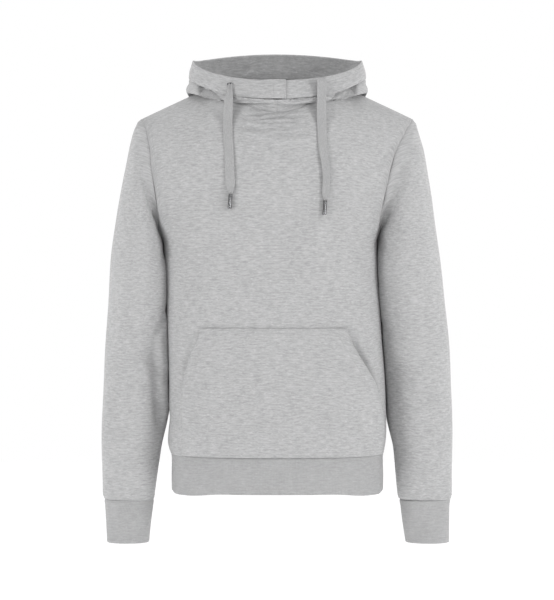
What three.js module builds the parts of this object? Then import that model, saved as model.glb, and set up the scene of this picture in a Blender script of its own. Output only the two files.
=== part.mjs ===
import * as THREE from 'three';

// A pullover hoodie, hollow and filled out as it is worn, with its hood down.
// Millimetres, +Z up, the front faces -Y, +X is on the right as seen from the front.
// The origin lies inside the neck, level with the place where the hood meets the shoulders.

// Cloth thicknesses and seam gap
const SEAM = 0.35;
const JERSEY = 2;
const RIB = 2.4;
const CASING = 2.6;

// Heights
const HEM = -672;
const WAIST_SEAM = -612;
const ARMPIT = -245;
const SHOULDER_TIP = -38;
const NECK_SIDE = { x: 105, y: 8, z: 22 };
const NECK_FRONT = { z: -36, curve: 2.2 };
const NECK_BACK = { z: 8, curve: 1.6 };
const ARMHOLE_HALF_DEPTH = 61;
const CHEST_POWER = 2.5;
const SLEEVE_GAP = 4;

// Torso sections: half widths to each side, depth to the front and to the back
const TORSO = [
  { z: -612, left: 182, right: 182, front: 108, back: 97 },
  { z: -604, left: 185, right: 183.5, front: 112, back: 101 },
  { z: -594, left: 187.5, right: 185.5, front: 115, back: 103.5 },
  { z: -576, left: 187, right: 187, front: 116, back: 105 },
  { z: -552, left: 184.5, right: 187, front: 115, back: 105 },
  { z: -528, left: 186, right: 186.5, front: 113, back: 104 },
  { z: -473, left: 187, right: 184, front: 110, back: 102 },
  { z: -418, left: 189, right: 180, front: 109, back: 101 },
  { z: -349, left: 191.5, right: 176, front: 109, back: 102 },
  { z: -290, left: 194, right: 172, front: 110, back: 104 },
  { z: -245, left: 197.5, right: 171.5, front: 112, back: 106 },
  { z: -218, left: 200, right: 173.5, front: 113, back: 107 },
  { z: -170, left: 205.5, right: 182, front: 114, back: 108 },
  { z: -129, left: 211.5, right: 191, front: 114, back: 108 },
  { z: -93, left: 215.5, right: 202, front: 112, back: 106 },
  { z: -58, left: 223.5, right: 220, front: 108, back: 102 },
  { z: -38, left: 233, right: 231.5, front: 104, back: 98 },
  { z: 60, left: 233, right: 231.5, front: 104, back: 98 },
];

// Sleeve sections: outer and inner point, centre in y, half depth, squeeze against the torso
const SLEEVES = {
  left: [
    { outer: 239, outerZ: -43, inner: 199.5, innerZ: -242.5, y: 0, deep: 63, press: 0 },
    { outer: 247, outerZ: -60, inner: 202, innerZ: -244, y: 0, deep: 65, press: 2 },
    { outer: 254, outerZ: -85, inner: 202.5, innerZ: -251, y: 0, deep: 69, press: 8 },
    { outer: 261, outerZ: -120, inner: 202.5, innerZ: -266, y: 1, deep: 73, press: 15 },
    { outer: 269, outerZ: -162, inner: 201, innerZ: -286, y: 2, deep: 76, press: 20 },
    { outer: 277, outerZ: -208, inner: 199.5, innerZ: -312, y: 3, deep: 77, press: 23 },
    { outer: 284, outerZ: -262, inner: 198, innerZ: -345, y: 4, deep: 75, press: 24 },
    { outer: 289, outerZ: -325, inner: 196, innerZ: -384, y: 5, deep: 71, press: 22 },
    { outer: 294, outerZ: -390, inner: 194.5, innerZ: -430, y: 5, deep: 65, press: 19 },
    { outer: 297.5, outerZ: -450, inner: 193, innerZ: -475, y: 4, deep: 60, press: 15 },
    { outer: 299.3, outerZ: -505, inner: 193, innerZ: -520, y: 2, deep: 55, press: 10 },
    { outer: 300.3, outerZ: -555, inner: 194, innerZ: -562, y: 0, deep: 50, press: 4 },
    { outer: 300.8, outerZ: -600, inner: 198.7, innerZ: -602, y: -3, deep: 46, press: 0 },
    { outer: 300.5, outerZ: -640, inner: 204.3, innerZ: -640, y: -6, deep: 42, press: 0 },
    { outer: 300, outerZ: -668, inner: 208, innerZ: -668, y: -8, deep: 39, press: 0 },
    { outer: 299.3, outerZ: -681, inner: 209.7, innerZ: -681, y: -9, deep: 36, press: 0 },
    { outer: 296.2, outerZ: -690, inner: 211.2, innerZ: -690, y: -9.5, deep: 30, press: 0 },
  ],
  right: [
    { outer: 238, outerZ: -46, inner: 173.5, innerZ: -242.5, y: 0, deep: 63, press: 0 },
    { outer: 243.5, outerZ: -67, inner: 176, innerZ: -244, y: 0, deep: 65, press: 2 },
    { outer: 250.8, outerZ: -93, inner: 176.5, innerZ: -251, y: 0, deep: 69, press: 8 },
    { outer: 257, outerZ: -125, inner: 177.5, innerZ: -266, y: 1, deep: 73, press: 15 },
    { outer: 265, outerZ: -167, inner: 178, innerZ: -286, y: 2, deep: 76, press: 20 },
    { outer: 271.5, outerZ: -212, inner: 178.5, innerZ: -312, y: 3, deep: 77, press: 23 },
    { outer: 278.8, outerZ: -266, inner: 180, innerZ: -345, y: 4, deep: 75, press: 24 },
    { outer: 285.5, outerZ: -326, inner: 182.5, innerZ: -384, y: 5, deep: 71, press: 22 },
    { outer: 292.5, outerZ: -390, inner: 185.5, innerZ: -430, y: 5, deep: 65, press: 19 },
    { outer: 297.3, outerZ: -450, inner: 188.5, innerZ: -475, y: 4, deep: 60, press: 15 },
    { outer: 299.3, outerZ: -505, inner: 191, innerZ: -520, y: 2, deep: 55, press: 10 },
    { outer: 300.2, outerZ: -555, inner: 193.5, innerZ: -562, y: 0, deep: 50, press: 4 },
    { outer: 300.4, outerZ: -600, inner: 199, innerZ: -602, y: -3, deep: 46, press: 0 },
    { outer: 300.2, outerZ: -640, inner: 203.3, innerZ: -640, y: -6, deep: 42, press: 0 },
    { outer: 300, outerZ: -668, inner: 206, innerZ: -668, y: -8, deep: 39, press: 0 },
    { outer: 299.5, outerZ: -681, inner: 207.3, innerZ: -681, y: -9, deep: 36, press: 0 },
    { outer: 297.3, outerZ: -690, inner: 209.3, innerZ: -690, y: -9.5, deep: 30, press: 0 },
  ],
};

// Cuff sections below the sleeve's last one
const CUFFS = {
  left: [
    { outer: 296.2, inner: 211.2, z: -690.35, y: -9.5, deep: 30 },
    { outer: 294.5, inner: 213, z: -702, y: -10, deep: 28.5 },
    { outer: 292.5, inner: 216.5, z: -733, y: -11.7, deep: 26.5 },
    { outer: 291, inner: 219, z: -762, y: -14, deep: 25.5 },
  ],
  right: [
    { outer: 297.3, inner: 209.3, z: -690.35, y: -9.5, deep: 30 },
    { outer: 294.8, inner: 211.8, z: -702, y: -10, deep: 28.5 },
    { outer: 293.8, inner: 215.2, z: -733, y: -11.7, deep: 26.5 },
    { outer: 293.5, inner: 218.8, z: -762, y: -14, deep: 25.5 },
  ],
};

// Hood rings from the neck seam to its edge: half width, reach to the front and back, and heights
// at the front, sides and back. The rings turn over outwards at the seam, hang down the back as a
// bag and come up to the edge. The casing's lower seam is at one row, the free edge at the last.
const HOOD_RINGS = [
  { half: 101.5, front: -95, back: 66, zFront: -31, zSide: 27.5, zBack: 15 },
  { half: 108, front: -95.4, back: 72, zFront: -29, zSide: 31, zBack: 23 },
  { half: 118, front: -95.8, back: 80, zFront: -27.1, zSide: 28.5, zBack: 24 },
  { half: 132, front: -96.3, back: 90, zFront: -25.5, zSide: 18.5, zBack: 0 },
  { half: 144, front: -97, back: 108, zFront: -24.1, zSide: 10.5, zBack: -75 },
  { half: 150, front: -98.2, back: 118, zFront: -22.8, zSide: 6.5, zBack: -152 },
  { half: 153.5, front: -99.5, back: 134, zFront: -21.4, zSide: 5, zBack: -186 },
  { half: 155.5, front: -100.6, back: 158, zFront: -20, zSide: 9, zBack: -182 },
  { half: 155, front: -101, back: 172, zFront: -18.6, zSide: 17, zBack: -120 },
  { half: 153.5, front: -100.6, back: 158, zFront: -17.1, zSide: 23, zBack: -40 },
  { half: 152, front: -99.4, back: 129, zFront: -15.5, zSide: 29.4, zBack: 47 },
  { half: 150.5, front: -96, back: 124, zFront: -4, zSide: 41, zBack: 62 },
  { half: 148.2, front: -91.5, back: 120, zFront: 8, zSide: 53, zBack: 76 },
  { half: 146, front: -87, back: 116, zFront: 18, zSide: 64, zBack: 89 },
];
// For the same rings, how the height runs from the side to the front and to the back, and the
// clearance to the body at the front and at the back
const HOOD_DRAPE = [
  { bend: 2.2, fall: 1.2, fore: 4, rear: 0 },
  { bend: 2.1, fall: 1.3, fore: 4, rear: 3 },
  { bend: 1.9, fall: 1.5, fore: 4.2, rear: 4.5 },
  { bend: 1.7, fall: 1.9, fore: 4.6, rear: 5 },
  { bend: 1.6, fall: 2.1, fore: 5.2, rear: 5 },
  { bend: 1.6, fall: 2.2, fore: 5.9, rear: 6 },
  { bend: 1.6, fall: 2.2, fore: 6.6, rear: 12 },
  { bend: 1.6, fall: 2.2, fore: 7.2, rear: 20 },
  { bend: 1.5, fall: 2.1, fore: 7.6, rear: 24 },
  { bend: 1.5, fall: 1.9, fore: 7.9, rear: 22 },
  { bend: 1.4, fall: 1.7, fore: 8, rear: 16 },
  { bend: 1.3, fall: 1.6, fore: 4, rear: 0 },
  { bend: 1.1, fall: 1.5, fore: 4, rear: 0 },
  { bend: 1, fall: 1.5, fore: 4, rear: 0 },
];
const HOOD = HOOD_RINGS.map((ring, i) => ({ ...ring, ...HOOD_DRAPE[i] }));
const CASING_ROW = 10;
const HOOD_ROUNDNESS = 0.75;
const BAND_LAP_LIFT = 3.2;

// Pocket outline as seen from the front, and how far its cloth stands off the front panel
const POCKET = [
  { z: -611, left: 159, right: 177, gapeLeft: 0.6, gapeRight: 0.6 },
  { z: -580, left: 159.5, right: 178, gapeLeft: 0.6, gapeRight: 0.8 },
  { z: -552, left: 160, right: 177, gapeLeft: 0.8, gapeRight: 2 },
  { z: -522, left: 160, right: 166, gapeLeft: 1.6, gapeRight: 6 },
  { z: -490, left: 155, right: 157, gapeLeft: 2.6, gapeRight: 8 },
  { z: -460, left: 147, right: 142, gapeLeft: 3, gapeRight: 7.5 },
  { z: -437, left: 141, right: 129.7, gapeLeft: 2.6, gapeRight: 5 },
  { z: -410, left: 130, right: 119, gapeLeft: 1, gapeRight: 1.2 },
  { z: -397, left: 129, right: 116.5, gapeLeft: 0.6, gapeRight: 0.6 },
];
const POCKET_LIFT = 0.9;

// Drawcords: the flat cord's size, and the route of its middle with the yaw of its flat side
const CORD = { width: 16, thick: 3, corner: 1.1 };
const CORDS = {
  left: [
    { x: -78.2, y: -84.2, z: 13, yaw: -13 },
    { x: -78.6, y: -88.4, z: 8, yaw: -13 },
    { x: -79.5, y: -91, z: -2, yaw: -13 },
    { x: -80.6, y: -94.8, z: -13, yaw: -12 },
    { x: -81.8, y: -96, z: -28, yaw: -11 },
    { x: -82.3, y: -97.2, z: -46, yaw: -10 },
    { x: -82.1, y: -102.6, z: -63, yaw: -10 },
    { x: -81.4, y: -107.9, z: -81, yaw: -10 },
    { x: -80.2, y: -111.8, z: -100, yaw: -10 },
    { x: -79.2, y: -113.5, z: -122, yaw: -10 },
    { x: -78.3, y: -113.6, z: -148, yaw: -8 },
    { x: -77.4, y: -113.9, z: -173.5, yaw: -8 },
  ],
  right: [
    { x: 73.9, y: -83.9, z: 14, yaw: 13 },
    { x: 74, y: -87, z: 18.6, yaw: 13 },
    { x: 74, y: -91.4, z: 21, yaw: 13 },
    { x: 74, y: -94.6, z: 16, yaw: 13 },
    { x: 74, y: -95.2, z: 4, yaw: 12 },
    { x: 73.9, y: -96.2, z: -12, yaw: 10 },
    { x: 73.8, y: -97.6, z: -30, yaw: 8 },
    { x: 73.9, y: -99.4, z: -48, yaw: 8 },
    { x: 74.3, y: -103.6, z: -64, yaw: 8 },
    { x: 75, y: -108.4, z: -82, yaw: 8 },
    { x: 76.6, y: -112, z: -101, yaw: 10 },
    { x: 79.2, y: -113.4, z: -121, yaw: 12 },
    { x: 81.2, y: -113.2, z: -145, yaw: 10 },
    { x: 80.6, y: -112.6, z: -166, yaw: 8 },
    { x: 79.6, y: -112.5, z: -183.5, yaw: 8 },
  ],
};
const AGLET = { length: 24, radius: 3, chamfer: 0.7, lean: 0.07 };

// Soft folds that are large enough to shape the cloth: the middle's height and angle round the
// sleeve (0 outside, 90 in front), the slant, and the length, width and depth of each
const SLEEVE_FOLDS = [
  { side: 'left', z: -455, angle: 118, slant: -0.9, length: 150, width: 15, depth: 5 },
  { side: 'left', z: -560, angle: 70, slant: 0.5, length: 60, width: 16, depth: 3 },
  { side: 'right', z: -210, angle: 112, slant: 0.5, length: 120, width: 14, depth: 4 },
  { side: 'right', z: -500, angle: 100, slant: 0.7, length: 110, width: 16, depth: 3.5 },
  { side: 'left', z: -430, angle: 250, slant: 0.8, length: 130, width: 16, depth: 4 },
  { side: 'right', z: -440, angle: 255, slant: -0.8, length: 130, width: 16, depth: 4 },
];

const COLOURS = {
  jersey: { color: 0xbcbcbe, roughness: 0.95, metalness: 0 },
  rib: { color: 0xb0b0b2, roughness: 0.92, metalness: 0 },
  cord: { color: 0xb4b4b6, roughness: 0.85, metalness: 0 },
  metal: { color: 0x54565a, roughness: 0.35, metalness: 0.9 },
};

// Numbers between 0 and 1, and values between table rows
const mix = (a, b, t) => a + (b - a) * t;
const smooth = (t) => {
  const c = Math.min(1, Math.max(0, t));
  return c * c * (3 - 2 * c);
};

// A value of one column at a height, on a smooth curve through the rows
function column(rows, key, at, value) {
  const rising = rows[rows.length - 1][key] > rows[0][key];
  let i = 0;
  while (i < rows.length - 2 && (rising ? at > rows[i + 1][key] : at < rows[i + 1][key])) i += 1;
  const t = (at - rows[i][key]) / (rows[i + 1][key] - rows[i][key]);
  return through(rows, value, i + Math.min(1, Math.max(0, t)));
}

// Catmull-Rom through one column, with the row number as the parameter
function through(rows, value, at) {
  const last = rows.length - 1;
  const i = Math.min(last - 1, Math.max(0, Math.floor(at)));
  const t = at - i;
  const p1 = rows[i][value];
  const p2 = rows[i + 1][value];
  const p0 = i > 0 ? rows[i - 1][value] : 2 * p1 - p2;
  const p3 = i + 2 <= last ? rows[i + 2][value] : 2 * p2 - p1;
  const bend = 2 * p0 - 5 * p1 + 4 * p2 - p3;
  const twist = 3 * p1 - p0 - 3 * p2 + p3;
  return p1 + 0.5 * t * (p2 - p0 + t * (bend + t * twist));
}

const halfWidth = (z, share) => column(TORSO, 'z', z, share < 0 ? 'left' : 'right');

// The body's ridge runs over the shoulders and on, rounded, across the neck hole.
// share is the distance from the centre over the half width, from -1 to 1.
const NECK_SHARE = NECK_SIDE.x / halfWidth(SHOULDER_TIP, -1);
function ridge(share) {
  const f = Math.abs(share);
  const slope = (NECK_SIDE.z - SHOULDER_TIP) / (1 - NECK_SHARE);
  if (f >= NECK_SHARE) {
    return { y: (NECK_SIDE.y * (1 - f)) / (1 - NECK_SHARE), z: SHOULDER_TIP + slope * (1 - f) };
  }
  const arch = (NECK_SHARE * NECK_SHARE - f * f) / (2 * NECK_SHARE);
  return { y: NECK_SIDE.y, z: NECK_SIDE.z + slope * arch };
}

// The height where a body panel ends: at the shoulder seam, or inside it at the neckline
function panelTop(face, share) {
  const f = Math.abs(share);
  if (f >= NECK_SHARE) return ridge(share).z;
  const open = Math.sqrt(1 - (f / NECK_SHARE) ** 2);
  const neckline = face === 'front' ? NECK_FRONT : NECK_BACK;
  return mix(NECK_SIDE.z, neckline.z, open ** neckline.curve);
}

// A point of the body's outer face. Above the armpit the surface opens to the armhole.
function bodyPoint(face, share, z) {
  const f = Math.abs(share);
  const side = face === 'front' ? -1 : 1;
  const depth = column(TORSO, 'z', z, face);
  const square = (1 - Math.min(1, f ** CHEST_POWER)) ** (1 / CHEST_POWER);
  const x = share * halfWidth(z, share);
  if (z <= ARMPIT) return new THREE.Vector3(x, side * depth * square, z);
  const top = ridge(share);
  const rise = Math.min(1, (z - ARMPIT) / (top.z - ARMPIT));
  const round = Math.sqrt(Math.max(0, 1 - (2 * rise - 1) ** 2));
  const turn = rise > 0.5 ? round : 1;
  const opening = rise > 0.5 ? 1 : mix(smooth(2 * rise), round, f ** 10);
  const armhole = ARMHOLE_HALF_DEPTH * opening;
  const slope = Math.cos((Math.PI / 2) * f ** 1.6);
  const section = mix(square, slope, smooth(rise / 0.5));
  const y = mix(top.y, side * (armhole + (depth - armhole) * section), turn);
  return new THREE.Vector3(x, y, z);
}

// The body's outer face at a place seen from the front or back, for what lies on it
function bodyAt(face, x, z) {
  const share = x / halfWidth(z, x);
  return bodyPoint(face, share, z);
}

// How far out the torso reaches at a depth y and height z, for the sleeves beside it
function torsoReach(side, y, z) {
  const share = side === 'left' ? -1 : 1;
  const face = y < 0 ? 'front' : 'back';
  const width = halfWidth(z, share);
  const depth = column(TORSO, 'z', z, face);
  if (z <= ARMPIT) {
    const t = Math.min(1, Math.abs(y) / depth);
    return width * (1 - t ** CHEST_POWER) ** (1 / CHEST_POWER);
  }
  const rise = (z - ARMPIT) / (SHOULDER_TIP - ARMPIT);
  const armhole = ARMHOLE_HALF_DEPTH * Math.sqrt(Math.max(0, 1 - (2 * rise - 1) ** 2));
  if (Math.abs(y) <= armhole) return width;
  const t = Math.min(1, (Math.abs(y) - armhole) / (depth - armhole));
  return width * (1 - t ** CHEST_POWER) ** (1 / CHEST_POWER);
}

// Normals of a grid of points, rows[j][i], with i running round to the right as seen from outside
function gridNormals(rows, closed) {
  return rows.map((row, j) => row.map((_, i) => {
    const n = row.length;
    const before = closed ? row[(i + n - 1) % n] : row[Math.max(0, i - 1)];
    const after = closed ? row[(i + 1) % n] : row[Math.min(n - 1, i + 1)];
    const below = rows[Math.max(0, j - 1)][i];
    const above = rows[Math.min(rows.length - 1, j + 1)][i];
    const along = new THREE.Vector3().subVectors(after, before);
    const up = new THREE.Vector3().subVectors(above, below);
    return along.cross(up).normalize();
  }));
}

// The inner face of a wall, with the outer face's rows and a thickness
function innerRows(rows, closed, thickness, adjust) {
  const normals = gridNormals(rows, closed);
  return rows.map((row, j) => row.map((p, i) => {
    const n = normals[j][i];
    if (adjust) adjust(n, j, i);
    return p.clone().addScaledVector(n.normalize(), -thickness);
  }));
}

// A closed wall between an outer and an inner grid, with rims on its open edges
function wall(outer, inner, closed) {
  const rowCount = outer.length;
  const columnCount = outer[0].length;
  const positions = [];
  for (const face of [outer, inner]) {
    for (const row of face) for (const p of row) positions.push(p.x, p.y, p.z);
  }
  const at = (face, j, i) => (face * rowCount + j) * columnCount + (i % columnCount);
  const index = [];
  const quad = (a, b, c, d) => index.push(a, b, c, a, c, d);
  const steps = closed ? columnCount : columnCount - 1;
  for (let j = 0; j < rowCount - 1; j += 1) {
    for (let i = 0; i < steps; i += 1) {
      quad(at(0, j, i), at(0, j, i + 1), at(0, j + 1, i + 1), at(0, j + 1, i));
      quad(at(1, j, i), at(1, j + 1, i), at(1, j + 1, i + 1), at(1, j, i + 1));
    }
  }
  const top = rowCount - 1;
  for (let i = 0; i < steps; i += 1) {
    quad(at(0, 0, i + 1), at(0, 0, i), at(1, 0, i), at(1, 0, i + 1));
    quad(at(0, top, i), at(0, top, i + 1), at(1, top, i + 1), at(1, top, i));
  }
  if (!closed) {
    const end = columnCount - 1;
    for (let j = 0; j < top; j += 1) {
      quad(at(0, j, 0), at(0, j + 1, 0), at(1, j + 1, 0), at(1, j, 0));
      quad(at(0, j + 1, end), at(0, j, end), at(1, j, end), at(1, j + 1, end));
    }
  }
  const geometry = new THREE.BufferGeometry();
  geometry.setAttribute('position', new THREE.Float32BufferAttribute(positions, 3));
  geometry.setIndex(index);
  geometry.computeVertexNormals();
  return geometry;
}

const hoodie = new THREE.Group();
function add(name, geometry, colour) {
  const mesh = new THREE.Mesh(geometry, new THREE.MeshStandardMaterial(COLOURS[colour]));
  mesh.name = name;
  hoodie.add(mesh);
}

// Columns across a body panel: close together at the sides, where it turns, and every 15 degrees
// of the neckline
const SIDE_SHARES = [1, 0.99, 0.96, 0.905, 0.82, 0.7, 0.57];
const NECK_STEPS = 12;
function panelShares() {
  const neck = [];
  for (let i = 0; i <= NECK_STEPS; i += 1) {
    neck.push(-NECK_SHARE * Math.cos((Math.PI * i) / NECK_STEPS));
  }
  return [...SIDE_SHARES.map((s) => -s), ...neck, ...[...SIDE_SHARES].reverse()];
}

// Rows of a body panel: heights below the armpit, then equal turns of the armhole's oval
const LOWER_ROWS = [-612, -608, -602, -594, -584, -570, -545, -505, -455, -400, -345, -290, -262];
const ARMHOLE_STEPS = 12;
function panelRow(face, shares, row) {
  if (row < LOWER_ROWS.length) return shares.map((s) => bodyPoint(face, s, LOWER_ROWS[row]));
  const turn = (Math.PI * (row - LOWER_ROWS.length)) / ARMHOLE_STEPS;
  const rise = (1 - Math.cos(turn)) / 2;
  return shares.map((s) => bodyPoint(face, s, mix(ARMPIT, panelTop(face, s), rise)));
}

function bodyPanel(face) {
  const side = face === 'front' ? -1 : 1;
  const shares = panelShares();
  if (face === 'back') shares.reverse();
  const rows = [];
  for (let row = 0; row <= LOWER_ROWS.length + ARMHOLE_STEPS; row += 1) {
    rows.push(panelRow(face, shares, row));
  }
  const last = rows.length - 1;
  const end = shares.length - 1;
  const underarm = LOWER_ROWS.length;
  for (const row of rows) for (const p of row) p.y += (side * SEAM) / 2;
  // Where two panels meet, their walls meet square: at the side seams and along the shoulders
  const inner = innerRows(rows, false, JERSEY, (normal, j, i) => {
    if ((i === 0 || i === end) && j <= underarm) normal.set(Math.sign(rows[j][i].x), 0, 0);
    if (j === last && Math.abs(shares[i]) >= NECK_SHARE - 1e-6) normal.y = 0;
  });
  return { rows, inner, shares };
}

const front = bodyPanel('front');
const back = bodyPanel('back');
add('front', wall(front.rows, front.inner, false), 'jersey');
add('back', wall(back.rows, back.inner, false), 'jersey');

// A seam's far side: the edge point p of a wall and its inner point, moved on past the edge
function acrossSeam(p, inner, inside, alongEdge) {
  const thickness = new THREE.Vector3().subVectors(p, inner).normalize();
  const step = new THREE.Vector3().crossVectors(alongEdge, thickness).normalize();
  if (step.dot(new THREE.Vector3().subVectors(p, inside)) < 0) step.negate();
  step.multiplyScalar(SEAM);
  return { outer: p.clone().add(step), inner: inner.clone().add(step) };
}

// The middle between two seam ends
function between(a, b) {
  return {
    outer: a.outer.clone().lerp(b.outer, 0.5),
    inner: a.inner.clone().lerp(b.inner, 0.5),
  };
}

// The armhole loop, from the shoulder tip round to the underarm and back up
const UNDERARM_ROW = LOWER_ROWS.length;
const TIP_ROW = UNDERARM_ROW + ARMHOLE_STEPS;
const RING = 2 * ARMHOLE_STEPS;
function armholeEdge(panel, share, row) {
  const i = panel.shares.indexOf(share);
  const near = i === 0 ? 1 : i - 1;
  const p = panel.rows[row][i];
  const below = panel.rows[row - 1][i];
  const above = panel.rows[Math.min(TIP_ROW, row + 1)][i];
  if (row === UNDERARM_ROW) {
    return acrossSeam(p, panel.inner[row][i], below, new THREE.Vector3(0, 1, 0));
  }
  const edge = new THREE.Vector3().subVectors(above, below);
  return acrossSeam(p, panel.inner[row][i], panel.rows[row][near], edge);
}

function armholeLoop(side) {
  const share = side === 'left' ? -1 : 1;
  const [first, second] = side === 'left' ? [front, back] : [back, front];
  const loop = [between(armholeEdge(first, share, TIP_ROW), armholeEdge(second, share, TIP_ROW))];
  for (let k = 1; k < ARMHOLE_STEPS; k += 1) loop.push(armholeEdge(first, share, TIP_ROW - k));
  const under = [first, second].map((panel) => armholeEdge(panel, share, UNDERARM_ROW));
  loop.push(between(...under));
  for (let k = 1; k < ARMHOLE_STEPS; k += 1) loop.push(armholeEdge(second, share, UNDERARM_ROW + k));
  return loop;
}

// A point of a sleeve or cuff section: angle 0 is outside, and rings run on to the right
function ringPoint(side, angle, outer, outerZ, inner, innerZ, y, deep) {
  const sign = side === 'left' ? -1 : 1;
  const c = Math.cos(angle);
  return new THREE.Vector3(
    sign * mix(inner, outer, (1 + c) / 2),
    y + sign * deep * Math.sin(angle),
    mix(innerZ, outerZ, (1 + c) / 2),
  );
}

// How deep the sleeve folds are at a height and an angle from the outside towards the front
const SLEEVE_RADIUS = 58;
function sleeveFold(side, z, degrees) {
  let depth = 0;
  for (const fold of SLEEVE_FOLDS) {
    if (fold.side !== side) continue;
    const around = THREE.MathUtils.degToRad(degrees - fold.angle) * SLEEVE_RADIUS;
    const size = Math.hypot(1, fold.slant);
    const along = (z - fold.z + fold.slant * around) / size;
    const across = (around - fold.slant * (z - fold.z)) / size;
    const reach = 1 - smooth(Math.abs(along) / (0.5 * fold.length));
    depth += fold.depth * reach * Math.exp(-((across / fold.width) ** 2));
  }
  return depth;
}

const FIRST_RINGS = 4;
const FIRST_GAP = 0.6;
function sleevePoint(side, loop, at, k) {
  const rows = SLEEVES[side];
  const value = (name) => through(rows, name, at);
  const angle = (2 * Math.PI * k) / RING;
  const inner = value('inner') - Math.max(0, value('press'));
  const p = ringPoint(side, angle, value('outer'), value('outerZ'), inner, value('innerZ'),
    value('y'), value('deep'));
  const share = side === 'left' ? -1 : 1;
  const oval = ringPoint(side, angle, halfWidth(SHOULDER_TIP, share), SHOULDER_TIP,
    halfWidth(ARMPIT, share), ARMPIT, 0, ARMHOLE_HALF_DEPTH);
  const pull = Math.max(0, 1 - (at + 1) / FIRST_RINGS) ** 2;
  p.addScaledVector(new THREE.Vector3().subVectors(loop[k].outer, oval), pull);
  const gap = mix(FIRST_GAP, SLEEVE_GAP, smooth(at / 2));
  p.x = share * Math.max(Math.abs(p.x), torsoReach(side, p.y, p.z) + gap);
  return p;
}

// Sleeve rings from the cuff seam up, by their place in the table
const SLEEVE_STATIONS = [
  16, 15.4, 14.6, 13.6, 12.8, 12, 11.3, 10.6, 9.9, 9.2, 8.5,
  7.8, 7, 6.2, 5.4, 4.5, 3.6, 2.7, 1.8, 0.9, 0,
];
function sleeve(side) {
  const loop = armholeLoop(side);
  const rows = SLEEVE_STATIONS.map((at) => loop.map((_, k) => sleevePoint(side, loop, at, k)));
  const normals = gridNormals(rows, true);
  const forward = side === 'left' ? 1 : -1;
  rows.forEach((row, j) => row.forEach((p, k) => {
    const degrees = (360 + (forward * 360 * k) / RING) % 360;
    p.addScaledVector(normals[j][k], -sleeveFold(side, p.z, degrees));
  }));
  rows.push(loop.map((point) => point.outer));
  const inner = innerRows(rows, true, JERSEY);
  inner[inner.length - 1] = loop.map((point) => point.inner);
  return wall(rows, inner, true);
}

function cuff(side) {
  const places = Array.from({ length: RING }, (_, k) => (2 * Math.PI * k) / RING);
  const rows = [...CUFFS[side]].reverse().map((row) => places.map((angle) => ringPoint(
    side, angle, row.outer, row.z, row.inner, row.z, row.y, row.deep,
  )));
  return wall(rows, innerRows(rows, true, RIB), true);
}

for (const side of ['left', 'right']) {
  add(`sleeve_${side}`, sleeve(side), 'jersey');
  add(`cuff_${side}`, cuff(side), 'rib');
}

// The waistband hangs from the body's lowest row, drawn in a little under the seam
const BAND_ROWS = [
  { z: HEM, scale: 0.998 },
  { z: -648, scale: 1 },
  { z: -620, scale: 0.996 },
  { z: WAIST_SEAM - SEAM, scale: 1 },
];
function waistband() {
  const end = front.rows[0].length - 1;
  const seam = [
    ...front.rows[0].map((p, i) => (i === 0 || i === end ? new THREE.Vector3(p.x, 0, p.z) : p)),
    ...back.rows[0].slice(1, end),
  ];
  const rows = BAND_ROWS.map(({ z, scale }) => seam.map((p) => new THREE.Vector3(
    p.x * scale, p.y * scale, z,
  )));
  return wall(rows, innerRows(rows, true, RIB), true);
}
add('waistband', waistband(), 'rib');

// A point of the hood or its casing. The angle runs from the front over the right to the back.
function hoodPoint(at, angle) {
  const value = (name) => through(HOOD, name, at);
  const c = Math.cos(angle);
  const x = value('half') * Math.sin(angle);
  const reach = Math.abs(c) ** HOOD_ROUNDNESS;
  let y = c > 0 ? value('front') * reach : value('back') * reach;
  const z = c > 0
    ? mix(value('zSide'), value('zFront'), c ** value('bend'))
    : mix(value('zSide'), value('zBack'), (-c) ** value('fall'));
  const face = c > 0 ? 'front' : 'back';
  const share = x / halfWidth(Math.max(z, ARMPIT), x);
  if (z < panelTop(face, share)) {
    const body = bodyPoint(face, share, z).y;
    y = c > 0 ? Math.min(y, body - value('fore')) : Math.max(y, body + value('rear'));
  }
  return new THREE.Vector3(x, y, z);
}

// The hood's outward direction, and the way up its cloth, at the casing's seam
function casingSeam(angle) {
  const step = 0.02;
  const up = hoodPoint(CASING_ROW + step, angle).sub(hoodPoint(CASING_ROW - step, angle));
  const ahead = hoodPoint(CASING_ROW, angle + step);
  const along = ahead.sub(hoodPoint(CASING_ROW, angle - step));
  return { normal: along.cross(up).normalize(), up: up.normalize() };
}

// The neck seam as one loop of 24 places, starting at the front centre
function neckLoop() {
  const edge = (panel, i) => {
    const top = panel.rows.length - 1;
    const along = new THREE.Vector3().subVectors(panel.rows[top][i + 1], panel.rows[top][i - 1]);
    return acrossSeam(panel.rows[top][i], panel.inner[top][i], panel.rows[top - 1][i], along);
  };
  const first = SIDE_SHARES.length;
  const places = (panel) => Array.from({ length: NECK_STEPS + 1 }, (_, i) => edge(panel, first + i));
  const fore = places(front);
  const rear = places(back);
  const half = NECK_STEPS / 2;
  return [
    ...fore.slice(half, NECK_STEPS),
    between(fore[NECK_STEPS], rear[0]),
    ...rear.slice(1, NECK_STEPS),
    between(rear[NECK_STEPS], fore[0]),
    ...fore.slice(1, half),
  ];
}

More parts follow.
